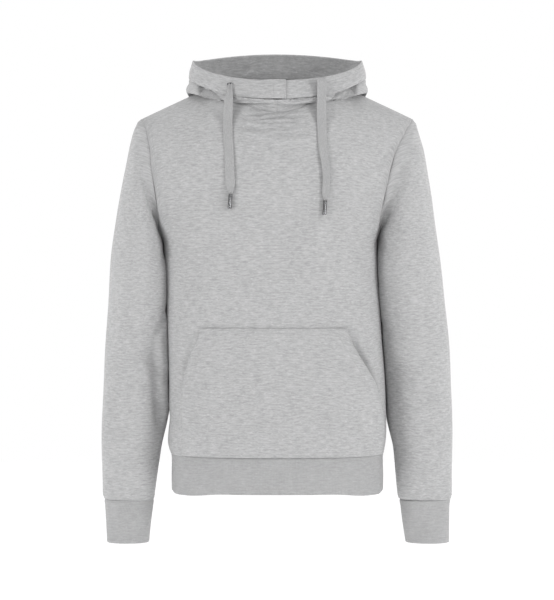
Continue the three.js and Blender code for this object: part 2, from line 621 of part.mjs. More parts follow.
// Hood halves, each from the front centre to the back centre
const HOOD_COLUMNS = 24;
function hoodHalf(side, neck) {
  const start = side === 'right' ? 0 : Math.PI;
  const firstPlace = side === 'right' ? 0 : NECK_STEPS;
  const angles = [];
  for (let i = 0; i <= HOOD_COLUMNS; i += 1) angles.push(start + (Math.PI * i) / HOOD_COLUMNS);
  const seam = angles.map((_, i) => {
    const a = neck[(firstPlace + Math.floor(i / 2)) % neck.length];
    const b = neck[(firstPlace + Math.ceil(i / 2)) % neck.length];
    return between(a, b);
  });
  const rows = [seam.map((point) => point.outer)];
  for (let at = 0; at <= CASING_ROW; at += 1) {
    rows.push(angles.map((angle) => hoodPoint(at, angle)));
  }
  const apart = (side === 'right' ? 1 : -1) * (SEAM / 2);
  for (const row of rows) for (const i of [0, HOOD_COLUMNS]) row[i].x = apart;
  const inner = innerRows(rows, false, JERSEY, (normal, j, i) => {
    if (j === rows.length - 1) normal.copy(casingSeam(angles[i]).normal);
    if (i === 0 || i === HOOD_COLUMNS) normal.x = 0;
  });
  inner[0] = seam.map((point) => point.inner);
  for (const i of [0, HOOD_COLUMNS]) inner[0][i].x = apart;
  return wall(rows, inner, false);
}

const neck = neckLoop();
add('hood_right', hoodHalf('right', neck), 'jersey');
add('hood_left', hoodHalf('left', neck), 'jersey');

// The casing runs once round, and towards its end it rises and lies over its beginning
const CASING_START = -1.2;
const CASING_LAP = [345, 350, 354.5, 358, 361.6, 365.3];
const FULL_LIFT = 358;
const CASING_STEPS = 3;
function casing() {
  const degrees = [CASING_START];
  for (let a = 0; a < CASING_LAP[0]; a += 7.5) degrees.push(a);
  degrees.push(...CASING_LAP);
  const angles = degrees.map((a) => THREE.MathUtils.degToRad(a));
  const rows = [];
  for (let j = 0; j <= CASING_STEPS; j += 1) {
    const at = CASING_ROW + (j * (HOOD.length - 1 - CASING_ROW)) / CASING_STEPS;
    rows.push(angles.map((angle) => hoodPoint(at, angle)));
  }
  rows[0].forEach((p, i) => p.addScaledVector(casingSeam(angles[i]).up, SEAM));
  const normals = gridNormals(rows, false);
  rows.forEach((row, j) => row.forEach((p, i) => {
    const rise = smooth((degrees[i] - CASING_LAP[0]) / (FULL_LIFT - CASING_LAP[0]));
    p.addScaledVector(normals[j][i], BAND_LAP_LIFT * rise);
  }));
  const inner = innerRows(rows, false, CASING, (normal, j, i) => {
    if (j === 0) normal.copy(casingSeam(angles[i]).normal);
  });
  return wall(rows, inner, false);
}
add('hood_band', casing(), 'jersey');

// The pocket is made from the front panel's points, moved out, and gapes at its openings
const POCKET_COLUMNS = 18;
const POCKET_BUNCHING = 1.25;
const GAPE_SHARE = { left: 0.3, right: 0.34 };
const POCKET_ROWS = [-609.5, -604, -596, -584, -566, -545, -520, -492, -462, -435, -411, -397];
function bodyNormal(x, z) {
  const step = 1;
  const across = bodyAt('front', x + step, z).sub(bodyAt('front', x - step, z));
  const up = bodyAt('front', x, z + step).sub(bodyAt('front', x, z - step));
  return across.cross(up).normalize();
}

function pocket() {
  const outer = [];
  const inner = [];
  for (const z of POCKET_ROWS) {
    const left = column(POCKET, 'z', z, 'left');
    const right = column(POCKET, 'z', z, 'right');
    const gapeLeft = column(POCKET, 'z', z, 'gapeLeft');
    const gapeRight = column(POCKET, 'z', z, 'gapeRight');
    const outerRow = [];
    const innerRow = [];
    for (let i = 0; i <= POCKET_COLUMNS; i += 1) {
      const u = (2 * i) / POCKET_COLUMNS - 1;
      const t = (1 + Math.sin(POCKET_BUNCHING * u) / Math.sin(POCKET_BUNCHING)) / 2;
      const x = mix(-left, right, t);
      const normal = bodyNormal(x, z);
      const stand = POCKET_LIFT
        + gapeLeft * (1 - smooth(t / GAPE_SHARE.left))
        + gapeRight * (1 - smooth((1 - t) / GAPE_SHARE.right));
      innerRow.push(bodyAt('front', x, z).addScaledVector(normal, stand));
      outerRow.push(bodyAt('front', x, z).addScaledVector(normal, stand + JERSEY));
    }
    outer.push(outerRow);
    inner.push(innerRow);
  }
  return wall(outer, inner, false);
}
add('pocket', pocket(), 'jersey');

// A flat cord's path, with its flat side turned as the table says
class CordPath extends THREE.CatmullRomCurve3 {
  constructor(route) {
    super(route.map((row) => new THREE.Vector3(row.x, row.y, row.z)));
    this.route = route;
  }

  computeFrenetFrames(segments) {
    const frames = { tangents: [], normals: [], binormals: [] };
    for (let i = 0; i <= segments; i += 1) {
      const u = i / segments;
      const tangent = this.getTangentAt(u);
      const yaw = through(this.route, 'yaw', this.getUtoTmapping(u) * (this.route.length - 1));
      const turn = THREE.MathUtils.degToRad(yaw);
      const across = new THREE.Vector3(Math.cos(turn), Math.sin(turn), 0);
      across.addScaledVector(tangent, -across.dot(tangent)).normalize();
      frames.tangents.push(tangent);
      frames.normals.push(across);
      frames.binormals.push(new THREE.Vector3().crossVectors(tangent, across));
    }
    return frames;
  }
}

function cordSection() {
  const w = CORD.width / 2;
  const t = CORD.thick / 2;
  const c = CORD.corner;
  return new THREE.Shape([
    [w, -t + c], [w, t - c], [w - c, t], [c - w, t],
    [-w, t - c], [-w, c - t], [c - w, -t], [w - c, -t],
  ].map(([x, y]) => new THREE.Vector2(x, y)));
}

const CORD_STEPS = 26;
function drawcord(side) {
  const path = new CordPath(CORDS[side]);
  return new THREE.ExtrudeGeometry(cordSection(), { steps: CORD_STEPS, extrudePath: path });
}

// The metal tip crimped on a cord's end, pointing down
function aglet() {
  const { length, radius, chamfer } = AGLET;
  const profile = [
    [0, -length], [radius - chamfer, -length], [radius, chamfer - length],
    [radius, -chamfer], [radius - chamfer, 0], [0, 0],
  ].map(([x, y]) => new THREE.Vector2(x, y));
  return new THREE.LatheGeometry(profile, 12).rotateX(Math.PI / 2);
}

for (const side of ['left', 'right']) {
  add(`drawcord_${side}`, drawcord(side), 'cord');
  add(`aglet_${side}`, aglet(), 'metal');
  const end = CORDS[side][CORDS[side].length - 1];
  const tip = hoodie.children[hoodie.children.length - 1];
  tip.position.set(end.x, end.y, end.z - SEAM);
  tip.rotation.y = AGLET.lean;
}

export default hoodie;
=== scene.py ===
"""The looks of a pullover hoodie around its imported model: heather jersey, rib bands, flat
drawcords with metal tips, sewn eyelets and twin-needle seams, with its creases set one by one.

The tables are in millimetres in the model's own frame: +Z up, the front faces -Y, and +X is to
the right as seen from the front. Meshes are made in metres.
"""

import math
from collections import namedtuple

import bmesh
import bpy
import numpy as np
from mathutils import Matrix, Vector


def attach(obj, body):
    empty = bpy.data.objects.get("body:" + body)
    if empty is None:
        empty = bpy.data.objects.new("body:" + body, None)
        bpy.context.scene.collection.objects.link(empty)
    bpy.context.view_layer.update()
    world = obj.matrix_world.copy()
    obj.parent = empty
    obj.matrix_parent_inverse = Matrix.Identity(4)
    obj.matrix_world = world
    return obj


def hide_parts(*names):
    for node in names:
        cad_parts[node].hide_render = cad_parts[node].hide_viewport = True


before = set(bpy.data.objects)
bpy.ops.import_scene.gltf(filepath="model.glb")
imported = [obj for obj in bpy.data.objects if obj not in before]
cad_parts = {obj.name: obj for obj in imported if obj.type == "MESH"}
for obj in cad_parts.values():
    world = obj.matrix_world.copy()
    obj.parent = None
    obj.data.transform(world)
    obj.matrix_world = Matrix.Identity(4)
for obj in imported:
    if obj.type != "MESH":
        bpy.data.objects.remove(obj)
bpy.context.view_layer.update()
bpy.ops.object.select_all(action="DESELECT")

MM = 0.001
BODY = "root"

# The camera looks level at the garment's front, from the photograph's distance and height
IMAGE_WIDTH = 554
MM_PER_PIXEL = 1.72
CAMERA_DISTANCE = 3000
CAMERA_HEIGHT = -349
CAMERA_SIDE = -0.5
SENSOR = 36

camera_data = bpy.data.cameras.new("camera")
camera_data.sensor_fit = "HORIZONTAL"
camera_data.sensor_width = SENSOR
camera_data.lens = CAMERA_DISTANCE * SENSOR / (IMAGE_WIDTH * MM_PER_PIXEL)
camera_data.clip_end = 50
camera = bpy.data.objects.new("camera", camera_data)
bpy.context.scene.collection.objects.link(camera)
camera.location = (CAMERA_SIDE * MM, -CAMERA_DISTANCE * MM, CAMERA_HEIGHT * MM)
camera.rotation_euler = (math.pi / 2, 0, 0)
bpy.context.scene.camera = camera


# Shader maths

OBJECT_OUTPUT = 3


def arithmetic(operation, reflected=False):
    """An operator's method, which adds a Math node. Reflected, the other value comes first."""
    def method(self, other):
        return self.maths(operation, *((other, self) if reflected else (self, other)))
    return method


class Wire:
    """A shader value. Arithmetic on it adds Math nodes to the material that it belongs to."""

    __add__, __radd__ = arithmetic("ADD"), arithmetic("ADD", True)
    __sub__, __rsub__ = arithmetic("SUBTRACT"), arithmetic("SUBTRACT", True)
    __mul__, __rmul__ = arithmetic("MULTIPLY"), arithmetic("MULTIPLY", True)
    __truediv__ = arithmetic("DIVIDE")

    def __init__(self, paint, socket):
        self.paint = paint
        self.socket = socket

    def maths(self, operation, *values):
        return self.paint.node("ShaderNodeMath", {"operation": operation}, dict(enumerate(values)))

    def __abs__(self):
        return self.maths("ABSOLUTE", self)

    def wave(self, length):
        """A sine wave along the value, of a given length."""
        return self.maths("SINE", self * (2 * math.pi / length))

    def between(self, low, high):
        """0 below low, 1 above high, and smooth in between."""
        settings = {"interpolation_type": "SMOOTHSTEP"}
        values = {"Value": self, "From Min": low, "From Max": high}
        return self.paint.node("ShaderNodeMapRange", settings, values)


class Paint:
    """A material under construction."""

    def __init__(self, name, **constants):
        self.material = bpy.data.materials.new(name)
        self.material.use_nodes = True
        self.tree = self.material.node_tree
        self.shader = self.tree.nodes["Principled BSDF"]
        for socket, value in constants.items():
            self.shader.inputs[socket.replace("_", " ")].default_value = value

    def node(self, kind, settings, values, output=0):
        """A node with its settings made first, then its sockets filled with numbers or links."""
        made = self.tree.nodes.new(kind)
        for key, value in settings.items():
            setattr(made, key, value)
        for key, value in values.items():
            self.feed(made.inputs[key], value)
        return Wire(self, made.outputs[output])

    def feed(self, socket, value):
        if isinstance(value, Wire):
            self.tree.links.new(value.socket, socket)
        else:
            socket.default_value = value

    def cloth(self):
        """The cloth's own coordinates in metres: across it and along it."""
        uv = self.node("ShaderNodeUVMap", {"uv_map": "cloth"}, {})
        split = self.tree.nodes.new("ShaderNodeSeparateXYZ")
        self.feed(split.inputs[0], uv)
        return Wire(self, split.outputs[0]), Wire(self, split.outputs[1])

    def where(self):
        """The place on the piece, in its own coordinates."""
        return self.node("ShaderNodeTexCoord", {}, {}, output=OBJECT_OUTPUT)

    def place(self, x, y, z=0.0):
        return self.node("ShaderNodeCombineXYZ", {}, {0: x, 1: y, 2: z})

    def noise(self, vector, scale=1.0, detail=2.0, roughness=0.5):
        values = {"Vector": vector, "Scale": scale, "Detail": detail, "Roughness": roughness}
        return self.node("ShaderNodeTexNoise", {"noise_dimensions": "3D"}, values)

    def blend(self, factor, low, high):
        """A colour between two, by a factor."""
        made = self.tree.nodes.new("ShaderNodeMix")
        made.data_type = "RGBA"
        self.feed(made.inputs[0], factor)
        for socket, value in ((made.inputs[6], low), (made.inputs[7], high)):
            self.feed(socket, value if isinstance(value, Wire) else (*value, 1.0))
        return Wire(self, made.outputs[2])

    def bump(self, height, distance, strength=1.0):
        values = {"Height": height, "Distance": distance, "Strength": strength}
        return self.node("ShaderNodeBump", {}, values)

    def finish(self, **links):
        for socket, value in links.items():
            self.feed(self.shader.inputs[socket.replace("_", " ")], value)
        return self.material


# Heather: dark and light fibres drawn out along the knit's courses. Each pattern has its width and
# height in metres, and its layer of the noise
STREAKS = (0.013, 0.0027, 0)
FIBRES = (0.0042, 0.0013, 3.1)
CLOUDS = (0.03, 0.03, 7.7)
FLECKS = (0.006, 0.0024, 5.9)
FUZZ = (0.0009, 0.0008, 1.3)
CORD_FIBRES = (0.0008, 0.003, 4.4)
WALE = 0.0013
RIB_PITCH = 0.0026
WEAVE_PITCH, YARN_PITCH = 0.0017, 0.0011
WEAVE_SLANT = 0.8
BRUSHING = (2600, 2600, 160)
THREAD_GRAIN, HOLE_GRAIN = 900, 700
KNIT_RELIEF, RIB_RELIEF, THREAD_RELIEF, METAL_RELIEF = 0.0004, 0.0005, 0.0001, 0.00001


def grey(level, blue=0.003):
    """A grey that is a little bluish."""
    return level, level, level + blue


def fibres_of(paint, u, v, size, **settings):
    width, height, layer = size
    return paint.noise(paint.place(u / width, v / height, layer), **settings)


def heather(paint, u, v, dark, light, contrast):
    """The mixed grey of the yarn, and the streaks it is made of."""
    streaks = fibres_of(paint, u, v, STREAKS, detail=2, roughness=0.55)
    fibres, clouds, flecks = (fibres_of(paint, u, v, s, detail=1) for s in (FIBRES, CLOUDS, FLECKS))
    amount = (streaks - 0.5) * contrast + (fibres - 0.5) * (contrast * 0.5) + (clouds - 0.5) * 0.2
    amount = amount + flecks.between(0.6, 0.74) * (contrast * 0.26) + 0.5
    return paint.blend(amount.between(0.0, 1.0), dark, light), streaks, fibres


def jersey(name, dark, light, contrast=1.15):
    paint = Paint(name, Roughness=0.92, Sheen_Weight=0.22, Sheen_Roughness=0.45,
                  Specular_IOR_Level=0.15)
    u, v = paint.cloth()
    colour, streaks, fibres = heather(paint, u, v, dark, light, contrast)
    fuzz = fibres_of(paint, u, v, FUZZ)
    height = streaks * 0.5 + fibres * 0.4 + u.wave(WALE) * 0.08 + fuzz * 0.5
    return paint.finish(Base_Color=colour, Normal=paint.bump(height, KNIT_RELIEF, 0.7))


def rib(name, dark, light, contrast=0.8):
    paint = Paint(name, Roughness=0.9, Sheen_Weight=0.18, Sheen_Roughness=0.45,
                  Specular_IOR_Level=0.15)
    u, v = paint.cloth()
    colour, streaks, fibres = heather(paint, u, v, dark, light, contrast)
    height = u.wave(RIB_PITCH) * 0.55 + fibres * 0.3 + streaks * 0.25
    return paint.finish(Base_Color=colour, Normal=paint.bump(height, RIB_RELIEF, 0.7))


def tape(name, dark, light):
    """A flat woven cord: fine slanting ends that meet in a row of small arrows."""
    paint = Paint(name, Roughness=0.85, Sheen_Weight=0.12, Specular_IOR_Level=0.2)
    u, v = paint.cloth()
    weave = (v + abs(u) * WEAVE_SLANT).wave(WEAVE_PITCH)
    fibres = fibres_of(paint, u, v, CORD_FIBRES)
    colour = paint.blend((weave * 0.16 + fibres * 0.8).between(0.15, 0.75), dark, light)
    height = weave * 0.5 + u.wave(YARN_PITCH) * 0.3
    return paint.finish(Base_Color=colour, Normal=paint.bump(height, KNIT_RELIEF, 0.7))


def gunmetal(name, dark, light):
    paint = Paint(name, Metallic=1.0)
    brushed = paint.node("ShaderNodeMapping", {}, {"Vector": paint.where(), "Scale": BRUSHING})
    grain = paint.noise(brushed)
    return paint.finish(Base_Color=paint.blend(grain, dark, light), Roughness=grain * 0.06 + 0.2,
                        Normal=paint.bump(grain, METAL_RELIEF, 0.15))


def thread(name, dark, light):
    paint = Paint(name, Roughness=0.7, Sheen_Weight=0.1, Specular_IOR_Level=0.25)
    grain = paint.noise(paint.where(), scale=THREAD_GRAIN, detail=1)
    return paint.finish(Base_Color=paint.blend(grain, dark, light),
                        Normal=paint.bump(grain, THREAD_RELIEF, 0.5))


# Painted shade: a near-black, matt colour with a faint random grain, standing for the shadow inside an
# eyelet's opening
def shadowed_hole(name, dark, light):
    paint = Paint(name, Roughness=1.0, Specular_IOR_Level=0.0)
    grain = paint.noise(paint.where(), scale=HOLE_GRAIN, detail=1)
    return paint.finish(Base_Color=paint.blend(grain, dark, light))


JERSEY = jersey("heather_jersey", grey(0.31), grey(0.5))
RIB = rib("heather_rib", grey(0.3), grey(0.455))
TAPE = tape("woven_tape", grey(0.33), grey(0.47))
GUNMETAL = gunmetal("gunmetal", grey(0.22, 0.006), grey(0.28, 0.006))
THREAD = thread("grey_thread", grey(0.34, 0.005), grey(0.48, 0.005))
# The eyelet's colour is painted shade, not the cloth's own colour
HOLE_SHADE = shadowed_hole("eyelet_hole_painted_shade", grey(0.02, 0.002), grey(0.05))


# Tables of the garment's form. They follow its solids, but the walls here are a little thinner, the
# sleeves lie nearer to the torso, and the pocket stands a little further open

class Table:
    """Rows of named numbers, with a smooth curve through each column."""

    def __init__(self, names, rows):
        self.size = len(rows)
        self.values = {n: np.array([row[i] for row in rows]) for i, n in enumerate(names.split())}

    def at(self, name, place):
        """A column's value at a row number, which may lie between two rows."""
        v = self.values[name]
        i = np.clip(np.floor(place), 0, self.size - 2).astype(int)
        t = place - i
        p1, p2 = v[i], v[i + 1]
        p0 = np.where(i > 0, v[i - 1], 2 * p1 - p2)
        p3 = np.where(i + 2 < self.size, v[np.minimum(i + 2, self.size - 1)], 2 * p2 - p1)
        bend = 2 * p0 - 5 * p1 + 4 * p2 - p3
        twist = 3 * p1 - p0 - 3 * p2 + p3
        return p1 + 0.5 * t * (p2 - p0 + t * (bend + t * twist))

    def row(self, place):
        """Every column's value at a row number, by name."""
        return {name: self.at(name, place) for name in self.values}

    def column(self, key, where, name):
        """A column's value where another column, which rises, has a given value."""
        v = self.values[key]
        i = np.clip(np.searchsorted(v, where) - 1, 0, self.size - 2)
        t = np.clip((where - v[i]) / (v[i + 1] - v[i]), 0, 1)
        return self.at(name, i + t)


SIDES = ("left", "right")
SIGN = {"left": -1, "right": 1, "front": -1, "back": 1}


def two_tables(names, rows):
    """A table for each side, from rows of the left's values, the right's, and those of both."""
    return {side: Table(names, [(*row[i], *row[2]) for row in rows]) for i, side in enumerate(SIDES)}


def mix(a, b, t):
    return a + (b - a) * t


def smooth(t):
    c = np.clip(t, 0, 1)
    return c * c * (3 - 2 * c)


def points(x, y, z):
    return np.stack(np.broadcast_arrays(x, y, z), axis=-1).astype(float)


def unit(vectors):
    return vectors / np.maximum(np.linalg.norm(vectors, axis=-1, keepdims=True), 1e-9)


SEAM = 0.35
JERSEY_WALL = 1.7
RIB_WALL = 2.2
CASING_WALL = 2.4

HEM = -672
WAIST_SEAM = -612
ARMPIT = -245
SHOULDER_TIP = -38
NECK_SIDE_X, NECK_SIDE_Y, NECK_SIDE_Z = 105, 8, 22
NECKLINES = {"front": (-36, 2.2), "back": (8, 1.6)}
ARMHOLE_HALF_DEPTH = 61
CHEST_POWER = 2.5

TORSO = Table("z left right front back", [
    (-612, 182, 182, 108, 97),
    (-604, 185, 183.5, 112, 101),
    (-594, 187.5, 185.5, 115, 103.5),
    (-576, 187, 187, 116, 105),
    (-552, 184.5, 187, 115, 105),
    (-528, 186, 186.5, 113, 104),
    (-473, 187, 184, 110, 102),
    (-418, 189, 180, 109, 101),
    (-349, 191.5, 176, 109, 102),
    (-290, 194, 172, 110, 104),
    (-245, 197.5, 171.5, 112, 106),
    (-218, 200, 173.5, 113, 107),
    (-170, 205.5, 182, 114, 108),
    (-129, 211.5, 191, 114, 108),
    (-93, 215.5, 202, 112, 106),
    (-58, 223.5, 220, 108, 102),
    (-38, 233, 231.5, 104, 98),
    (60, 233, 231.5, 104, 98),
])

# Sleeve sections: the outer and inner line on each side, and what both sides share
SLEEVES = two_tables("outer outer_z inner inner_z y deep press", [
    ((239, -43, 199.5), (238, -46, 173.5), (-242.5, 0, 63, 0)),
    ((247, -60, 202), (243.5, -67, 176), (-244, 0, 65, 2)),
    ((254, -85, 202.5), (250.8, -93, 176.5), (-251, 0, 69, 8)),
    ((261, -120, 202.5), (257, -125, 177.5), (-266, 1, 73, 15)),
    ((269, -162, 201), (265, -167, 178), (-286, 2, 76, 20)),
    ((277, -208, 199.5), (271.5, -212, 178.5), (-312, 3, 77, 23)),
    ((284, -262, 198), (278.8, -266, 180), (-345, 4, 75, 24)),
    ((289, -325, 196), (285.5, -326, 182.5), (-384, 5, 71, 22)),
    ((294, -390, 194.5), (292.5, -390, 185.5), (-430, 5, 65, 19)),
    ((297.5, -450, 193), (297.3, -450, 188.5), (-475, 4, 60, 15)),
    ((299.3, -505, 193), (299.3, -505, 191), (-520, 2, 55, 10)),
    ((300.3, -555, 194), (300.2, -555, 193.5), (-562, 0, 50, 4)),
    ((300.8, -600, 198.7), (300.4, -600, 199), (-602, -3, 46, 0)),
    ((300.5, -640, 204.3), (300.2, -640, 203.3), (-640, -6, 42, 0)),
    ((300, -668, 208), (300, -668, 206), (-668, -8, 39, 0)),
    ((299.3, -681, 209.7), (299.5, -681, 207.3), (-681, -9, 36, 0)),
    ((296.2, -690, 211.2), (297.3, -690, 209.3), (-690, -9.5, 30, 0)),
])

CUFFS = two_tables("outer inner z y deep", [
    ((291, 219), (293.5, 218.8), (-762, -14, 25.5)),
    ((292.5, 216.5), (293.8, 215.2), (-733, -11.7, 26.5)),
    ((294.5, 213), (294.8, 211.8), (-702, -10, 28.5)),
    ((296.2, 211.2), (297.3, 209.3), (-690.35, -9.5, 30)),
])

HOOD = Table("half front back z_front z_side z_back bend fall fore rear", [
    (101.5, -95, 66, -31, 27.5, 15, 2.2, 1.2, 4, 0),
    (108, -95.4, 72, -29, 31, 23, 2.1, 1.3, 4, 3),
    (118, -95.8, 80, -27.1, 28.5, 24, 1.9, 1.5, 4.2, 4.5),
    (132, -96.3, 90, -25.5, 18.5, 0, 1.7, 1.9, 4.6, 5),
    (144, -97, 108, -24.1, 10.5, -75, 1.6, 2.1, 5.2, 5),
    (150, -98.2, 118, -22.8, 6.5, -152, 1.6, 2.2, 5.9, 6),
    (153.5, -99.5, 134, -21.4, 5, -186, 1.6, 2.2, 6.6, 12),
    (155.5, -100.6, 158, -20, 9, -182, 1.6, 2.2, 7.2, 20),
    (155, -101, 172, -18.6, 17, -120, 1.5, 2.1, 7.6, 24),
    (153.5, -100.6, 158, -17.1, 23, -40, 1.5, 1.9, 7.9, 22),
    (152, -99.4, 129, -15.5, 29.4, 47, 1.4, 1.7, 8, 16),
    (150.5, -96, 124, -4, 41, 62, 1.3, 1.6, 4, 0),
    (148.2, -91.5, 120, 8, 53, 76, 1.1, 1.5, 4, 0),
    (146, -87, 116, 18, 64, 89, 1, 1.5, 4, 0),
])
CASING_ROW = 10
HOOD_ROUNDNESS = 0.75
CASING_START, CASING_LIFT_START, CASING_FULL_LIFT, CASING_END = -1.2, 345, 358, 365.3
LAP_LIFT = 3.2

POCKET = Table("z left right gape_left gape_right", [
    (-611, 159, 177, 0.6, 0.6),
    (-580, 159.5, 178, 0.6, 0.8),
    (-552, 160, 177, 0.8, 2.5),
    (-522, 160, 166, 1.6, 7.5),
    (-490, 155, 157, 3.2, 10),
    (-460, 147, 142, 3.8, 9),
    (-437, 141, 129.7, 3.4, 6),
    (-410, 130, 119, 1, 1.2),
    (-397, 129, 116.5, 0.6, 0.6),
])
POCKET_LIFT = 0.9
GAPE_LEFT, GAPE_RIGHT = 0.3, 0.34

WAISTBAND = Table("z scale", [
    (HEM, 0.998),
    (-648, 1),
    (-620, 0.996),
    (WAIST_SEAM - SEAM, 1),
])


# The body's outer face

def half_width(z, share):
    return np.where(share < 0, TORSO.column("z", z, "left"), TORSO.column("z", z, "right"))


NECK_SHARE = NECK_SIDE_X / float(half_width(SHOULDER_TIP, -1))
SHOULDER_SLOPE = (NECK_SIDE_Z - SHOULDER_TIP) / (1 - NECK_SHARE)


def ridge(share):
    """The line over the shoulders, which runs on, rounded, across the neck hole."""
    f = np.abs(share)
    arch = (NECK_SHARE ** 2 - f ** 2) / (2 * NECK_SHARE)
    outside = f >= NECK_SHARE
    y = np.where(outside, NECK_SIDE_Y * (1 - f) / (1 - NECK_SHARE), NECK_SIDE_Y)
    z = np.where(outside, SHOULDER_TIP + SHOULDER_SLOPE * (1 - f), NECK_SIDE_Z + SHOULDER_SLOPE * arch)
    return y, z


def panel_top(face, share):
    """The height where a body panel ends, at the shoulder seam or the neckline."""
    f = np.abs(share)
    low, curve = NECKLINES[face]
    opened = np.sqrt(np.clip(1 - (f / NECK_SHARE) ** 2, 0, 1))
    return np.where(f >= NECK_SHARE, ridge(share)[1], mix(NECK_SIDE_Z, low, opened ** curve))


def body_point(face, share, z):
    f = np.abs(share)
    side = SIGN[face]
    depth = TORSO.column("z", z, face)
    square = np.clip(1 - np.minimum(1, f ** CHEST_POWER), 0, 1) ** (1 / CHEST_POWER)
    top_y, top_z = ridge(share)
    rise = np.clip((z - ARMPIT) / (top_z - ARMPIT), 0, 1)
    half_round = np.sqrt(np.clip(1 - (2 * rise - 1) ** 2, 0, 1))
    upper = rise > 0.5
    turn = np.where(upper, half_round, 1)
    armhole = ARMHOLE_HALF_DEPTH * np.where(upper, 1, mix(smooth(2 * rise), half_round, f ** 10))
    slope = np.cos(math.pi / 2 * np.minimum(1, f) ** 1.6)
    section = mix(square, slope, smooth(2 * rise))
    y_above = mix(top_y, side * (armhole + (depth - armhole) * section), turn)
    return points(share * half_width(z, share), np.where(z <= ARMPIT, side * depth * square, y_above), z)


def body_at(face, x, z):
    return body_point(face, x / half_width(z, x), z)


def torso_reach(side, y, z):
    """How far out the torso reaches at a depth and a height."""
    share = SIGN[side]
    width = half_width(z, share)
    depth = np.where(y < 0, TORSO.column("z", z, "front"), TORSO.column("z", z, "back"))
    rise = (z - ARMPIT) / (SHOULDER_TIP - ARMPIT)
    armhole = np.where(z <= ARMPIT, 0, ARMHOLE_HALF_DEPTH * np.sqrt(np.clip(1 - (2 * rise - 1) ** 2, 0, 1)))
    t = np.clip((np.abs(y) - armhole) / (depth - armhole), 0, 1)
    return width * (1 - t ** CHEST_POWER) ** (1 / CHEST_POWER)


# Grids of points and the walls made from them

def normals_of(grid, closed=False):
    """Outward normals of rows of points that run round to the right, from the lowest row up."""
    along = np.roll(grid, -1, 1) - np.roll(grid, 1, 1) if closed else np.gradient(grid, axis=1)
    return unit(np.cross(along, np.gradient(grid, axis=0)))


def pushed_out(grid, distance, closed=False):
    """The grid moved out along its own normals, by a distance at each point."""
    return grid + normals_of(grid, closed) * distance[..., None]


def run_lengths(grid, axis):
    """The distance run along each row (axis 1) or column (axis 0) of a grid."""
    steps = np.linalg.norm(np.diff(grid, axis=axis), axis=2)
    pad = [(1, 0), (0, 0)] if axis == 0 else [(0, 0), (1, 0)]
    return np.pad(np.cumsum(steps, axis=axis), pad)


def line_lengths(line):
    return run_lengths(line[:, None], 0)[:, 0]


def turns(count):
    """Angles all the way round."""
    return np.linspace(0, 2 * math.pi, count, endpoint=False)


def cloth_coordinates(grid, closed):
    """Each point's place on the flat cloth in metres: across from the middle, and along."""
    full = np.concatenate([grid, grid[:, :1]], axis=1) if closed else grid
    across = run_lengths(full, 1)
    return (across - across[:, -1:] / 2) * MM, run_lengths(full, 0) * MM


def outward_edge(grid, normals, j, i, closed):
    """The direction in which the cloth ends at a place on its edge."""
    rows, columns = grid.shape[:2]
    inside_j = 1 if j == 0 else rows - 2 if j == rows - 1 else j
    inside_i = i
    if not closed:
        inside_i = 1 if i == 0 else columns - 2 if i == columns - 1 else i
    away = grid[j, i] - grid[inside_j, inside_i]
    return unit(away - normals[j, i] * np.dot(away, normals[j, i]))


RIM_ROUNDNESS = 0.42


def mesh_of(name, vertices, faces, corners=()):
    """A mesh from points in millimetres, and the cloth coordinates of its faces' corners."""
    mesh = bpy.data.meshes.new(name)
    mesh.from_pydata((np.array(vertices) * MM).tolist(), [], faces)
    if corners:
        layer = mesh.uv_layers.new(name="cloth")
        layer.data.foreach_set("uv", np.array(corners, float).ravel())
    return mesh


def wall_mesh(name, outer, inner, closed, offset):
    """A closed wall between two grids, with rounded rims, and its cloth coordinates."""
    rows, columns = outer.shape[:2]
    normals = normals_of(outer, closed)
    count = rows * columns
    vertices = [*outer.reshape(-1, 3), *inner.reshape(-1, 3)]
    across, along = cloth_coordinates(outer, closed)
    faces, corners = [], []

    def uv(j, i):
        return across[j, i] + offset, along[j, i] + offset

    def quad(indices, places):
        faces.append(indices)
        corners.extend(uv(*place) for place in places)

    steps = columns if closed else columns - 1
    for j in range(rows - 1):
        for i in range(steps):
            k = (i + 1) % columns
            places = ((j, i), (j, i + 1), (j + 1, i + 1), (j + 1, i))
            ring = (j * columns + i, j * columns + k, (j + 1) * columns + k, (j + 1) * columns + i)
            quad(ring, places)
            quad(tuple(count + v for v in reversed(ring)), tuple(reversed(places)))

    loops = []
    if closed:
        loops.append([(0, i) for i in range(columns + 1)])
        loops.append([(rows - 1, i) for i in range(columns, -1, -1)])
    else:
        right, top = columns - 1, rows - 1
        loops.append([(0, i) for i in range(right)] + [(j, right) for j in range(top)]
                     + [(top, i) for i in range(right, 0, -1)] + [(j, 0) for j in range(top, -1, -1)])
    for loop in loops:
        middles = {}
        for j, i in loop:
            key = (j, i % columns)
            if key not in middles:
                a, b = outer[key], inner[key]
                reach = np.linalg.norm(a - b) * RIM_ROUNDNESS
                middles[key] = len(vertices)
                vertices.append((a + b) / 2 + outward_edge(outer, normals, *key, closed) * reach)
        for (j, i), (m, n) in zip(loop, loop[1:]):
            a, b = j * columns + i % columns, m * columns + n % columns
            mid_a, mid_b = middles[(j, i % columns)], middles[(m, n % columns)]
            quad((b, a, mid_a, mid_b), ((m, n), (j, i), (j, i), (m, n)))
            quad((mid_b, mid_a, count + a, count + b), ((m, n), (j, i), (j, i), (m, n)))
    return mesh_of(name, vertices, faces, corners)


def assigned(piece, material, nodes):
    """Gives a piece its material, rides it on the body, and hides the solids that it stands for."""
    piece.data.materials.clear()
    piece.data.materials.append(material)
    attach(piece, BODY)
    if nodes:
        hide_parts(*nodes)
    return piece


def new_piece(name, mesh, material, slot, *nodes):
    piece = bpy.data.objects.new(name, mesh)
    bpy.context.scene.collection.objects.link(piece)
    mesh.polygons.foreach_set("use_smooth", [True] * len(mesh.polygons))
    mesh.update()
    return assigned(piece, material, nodes)
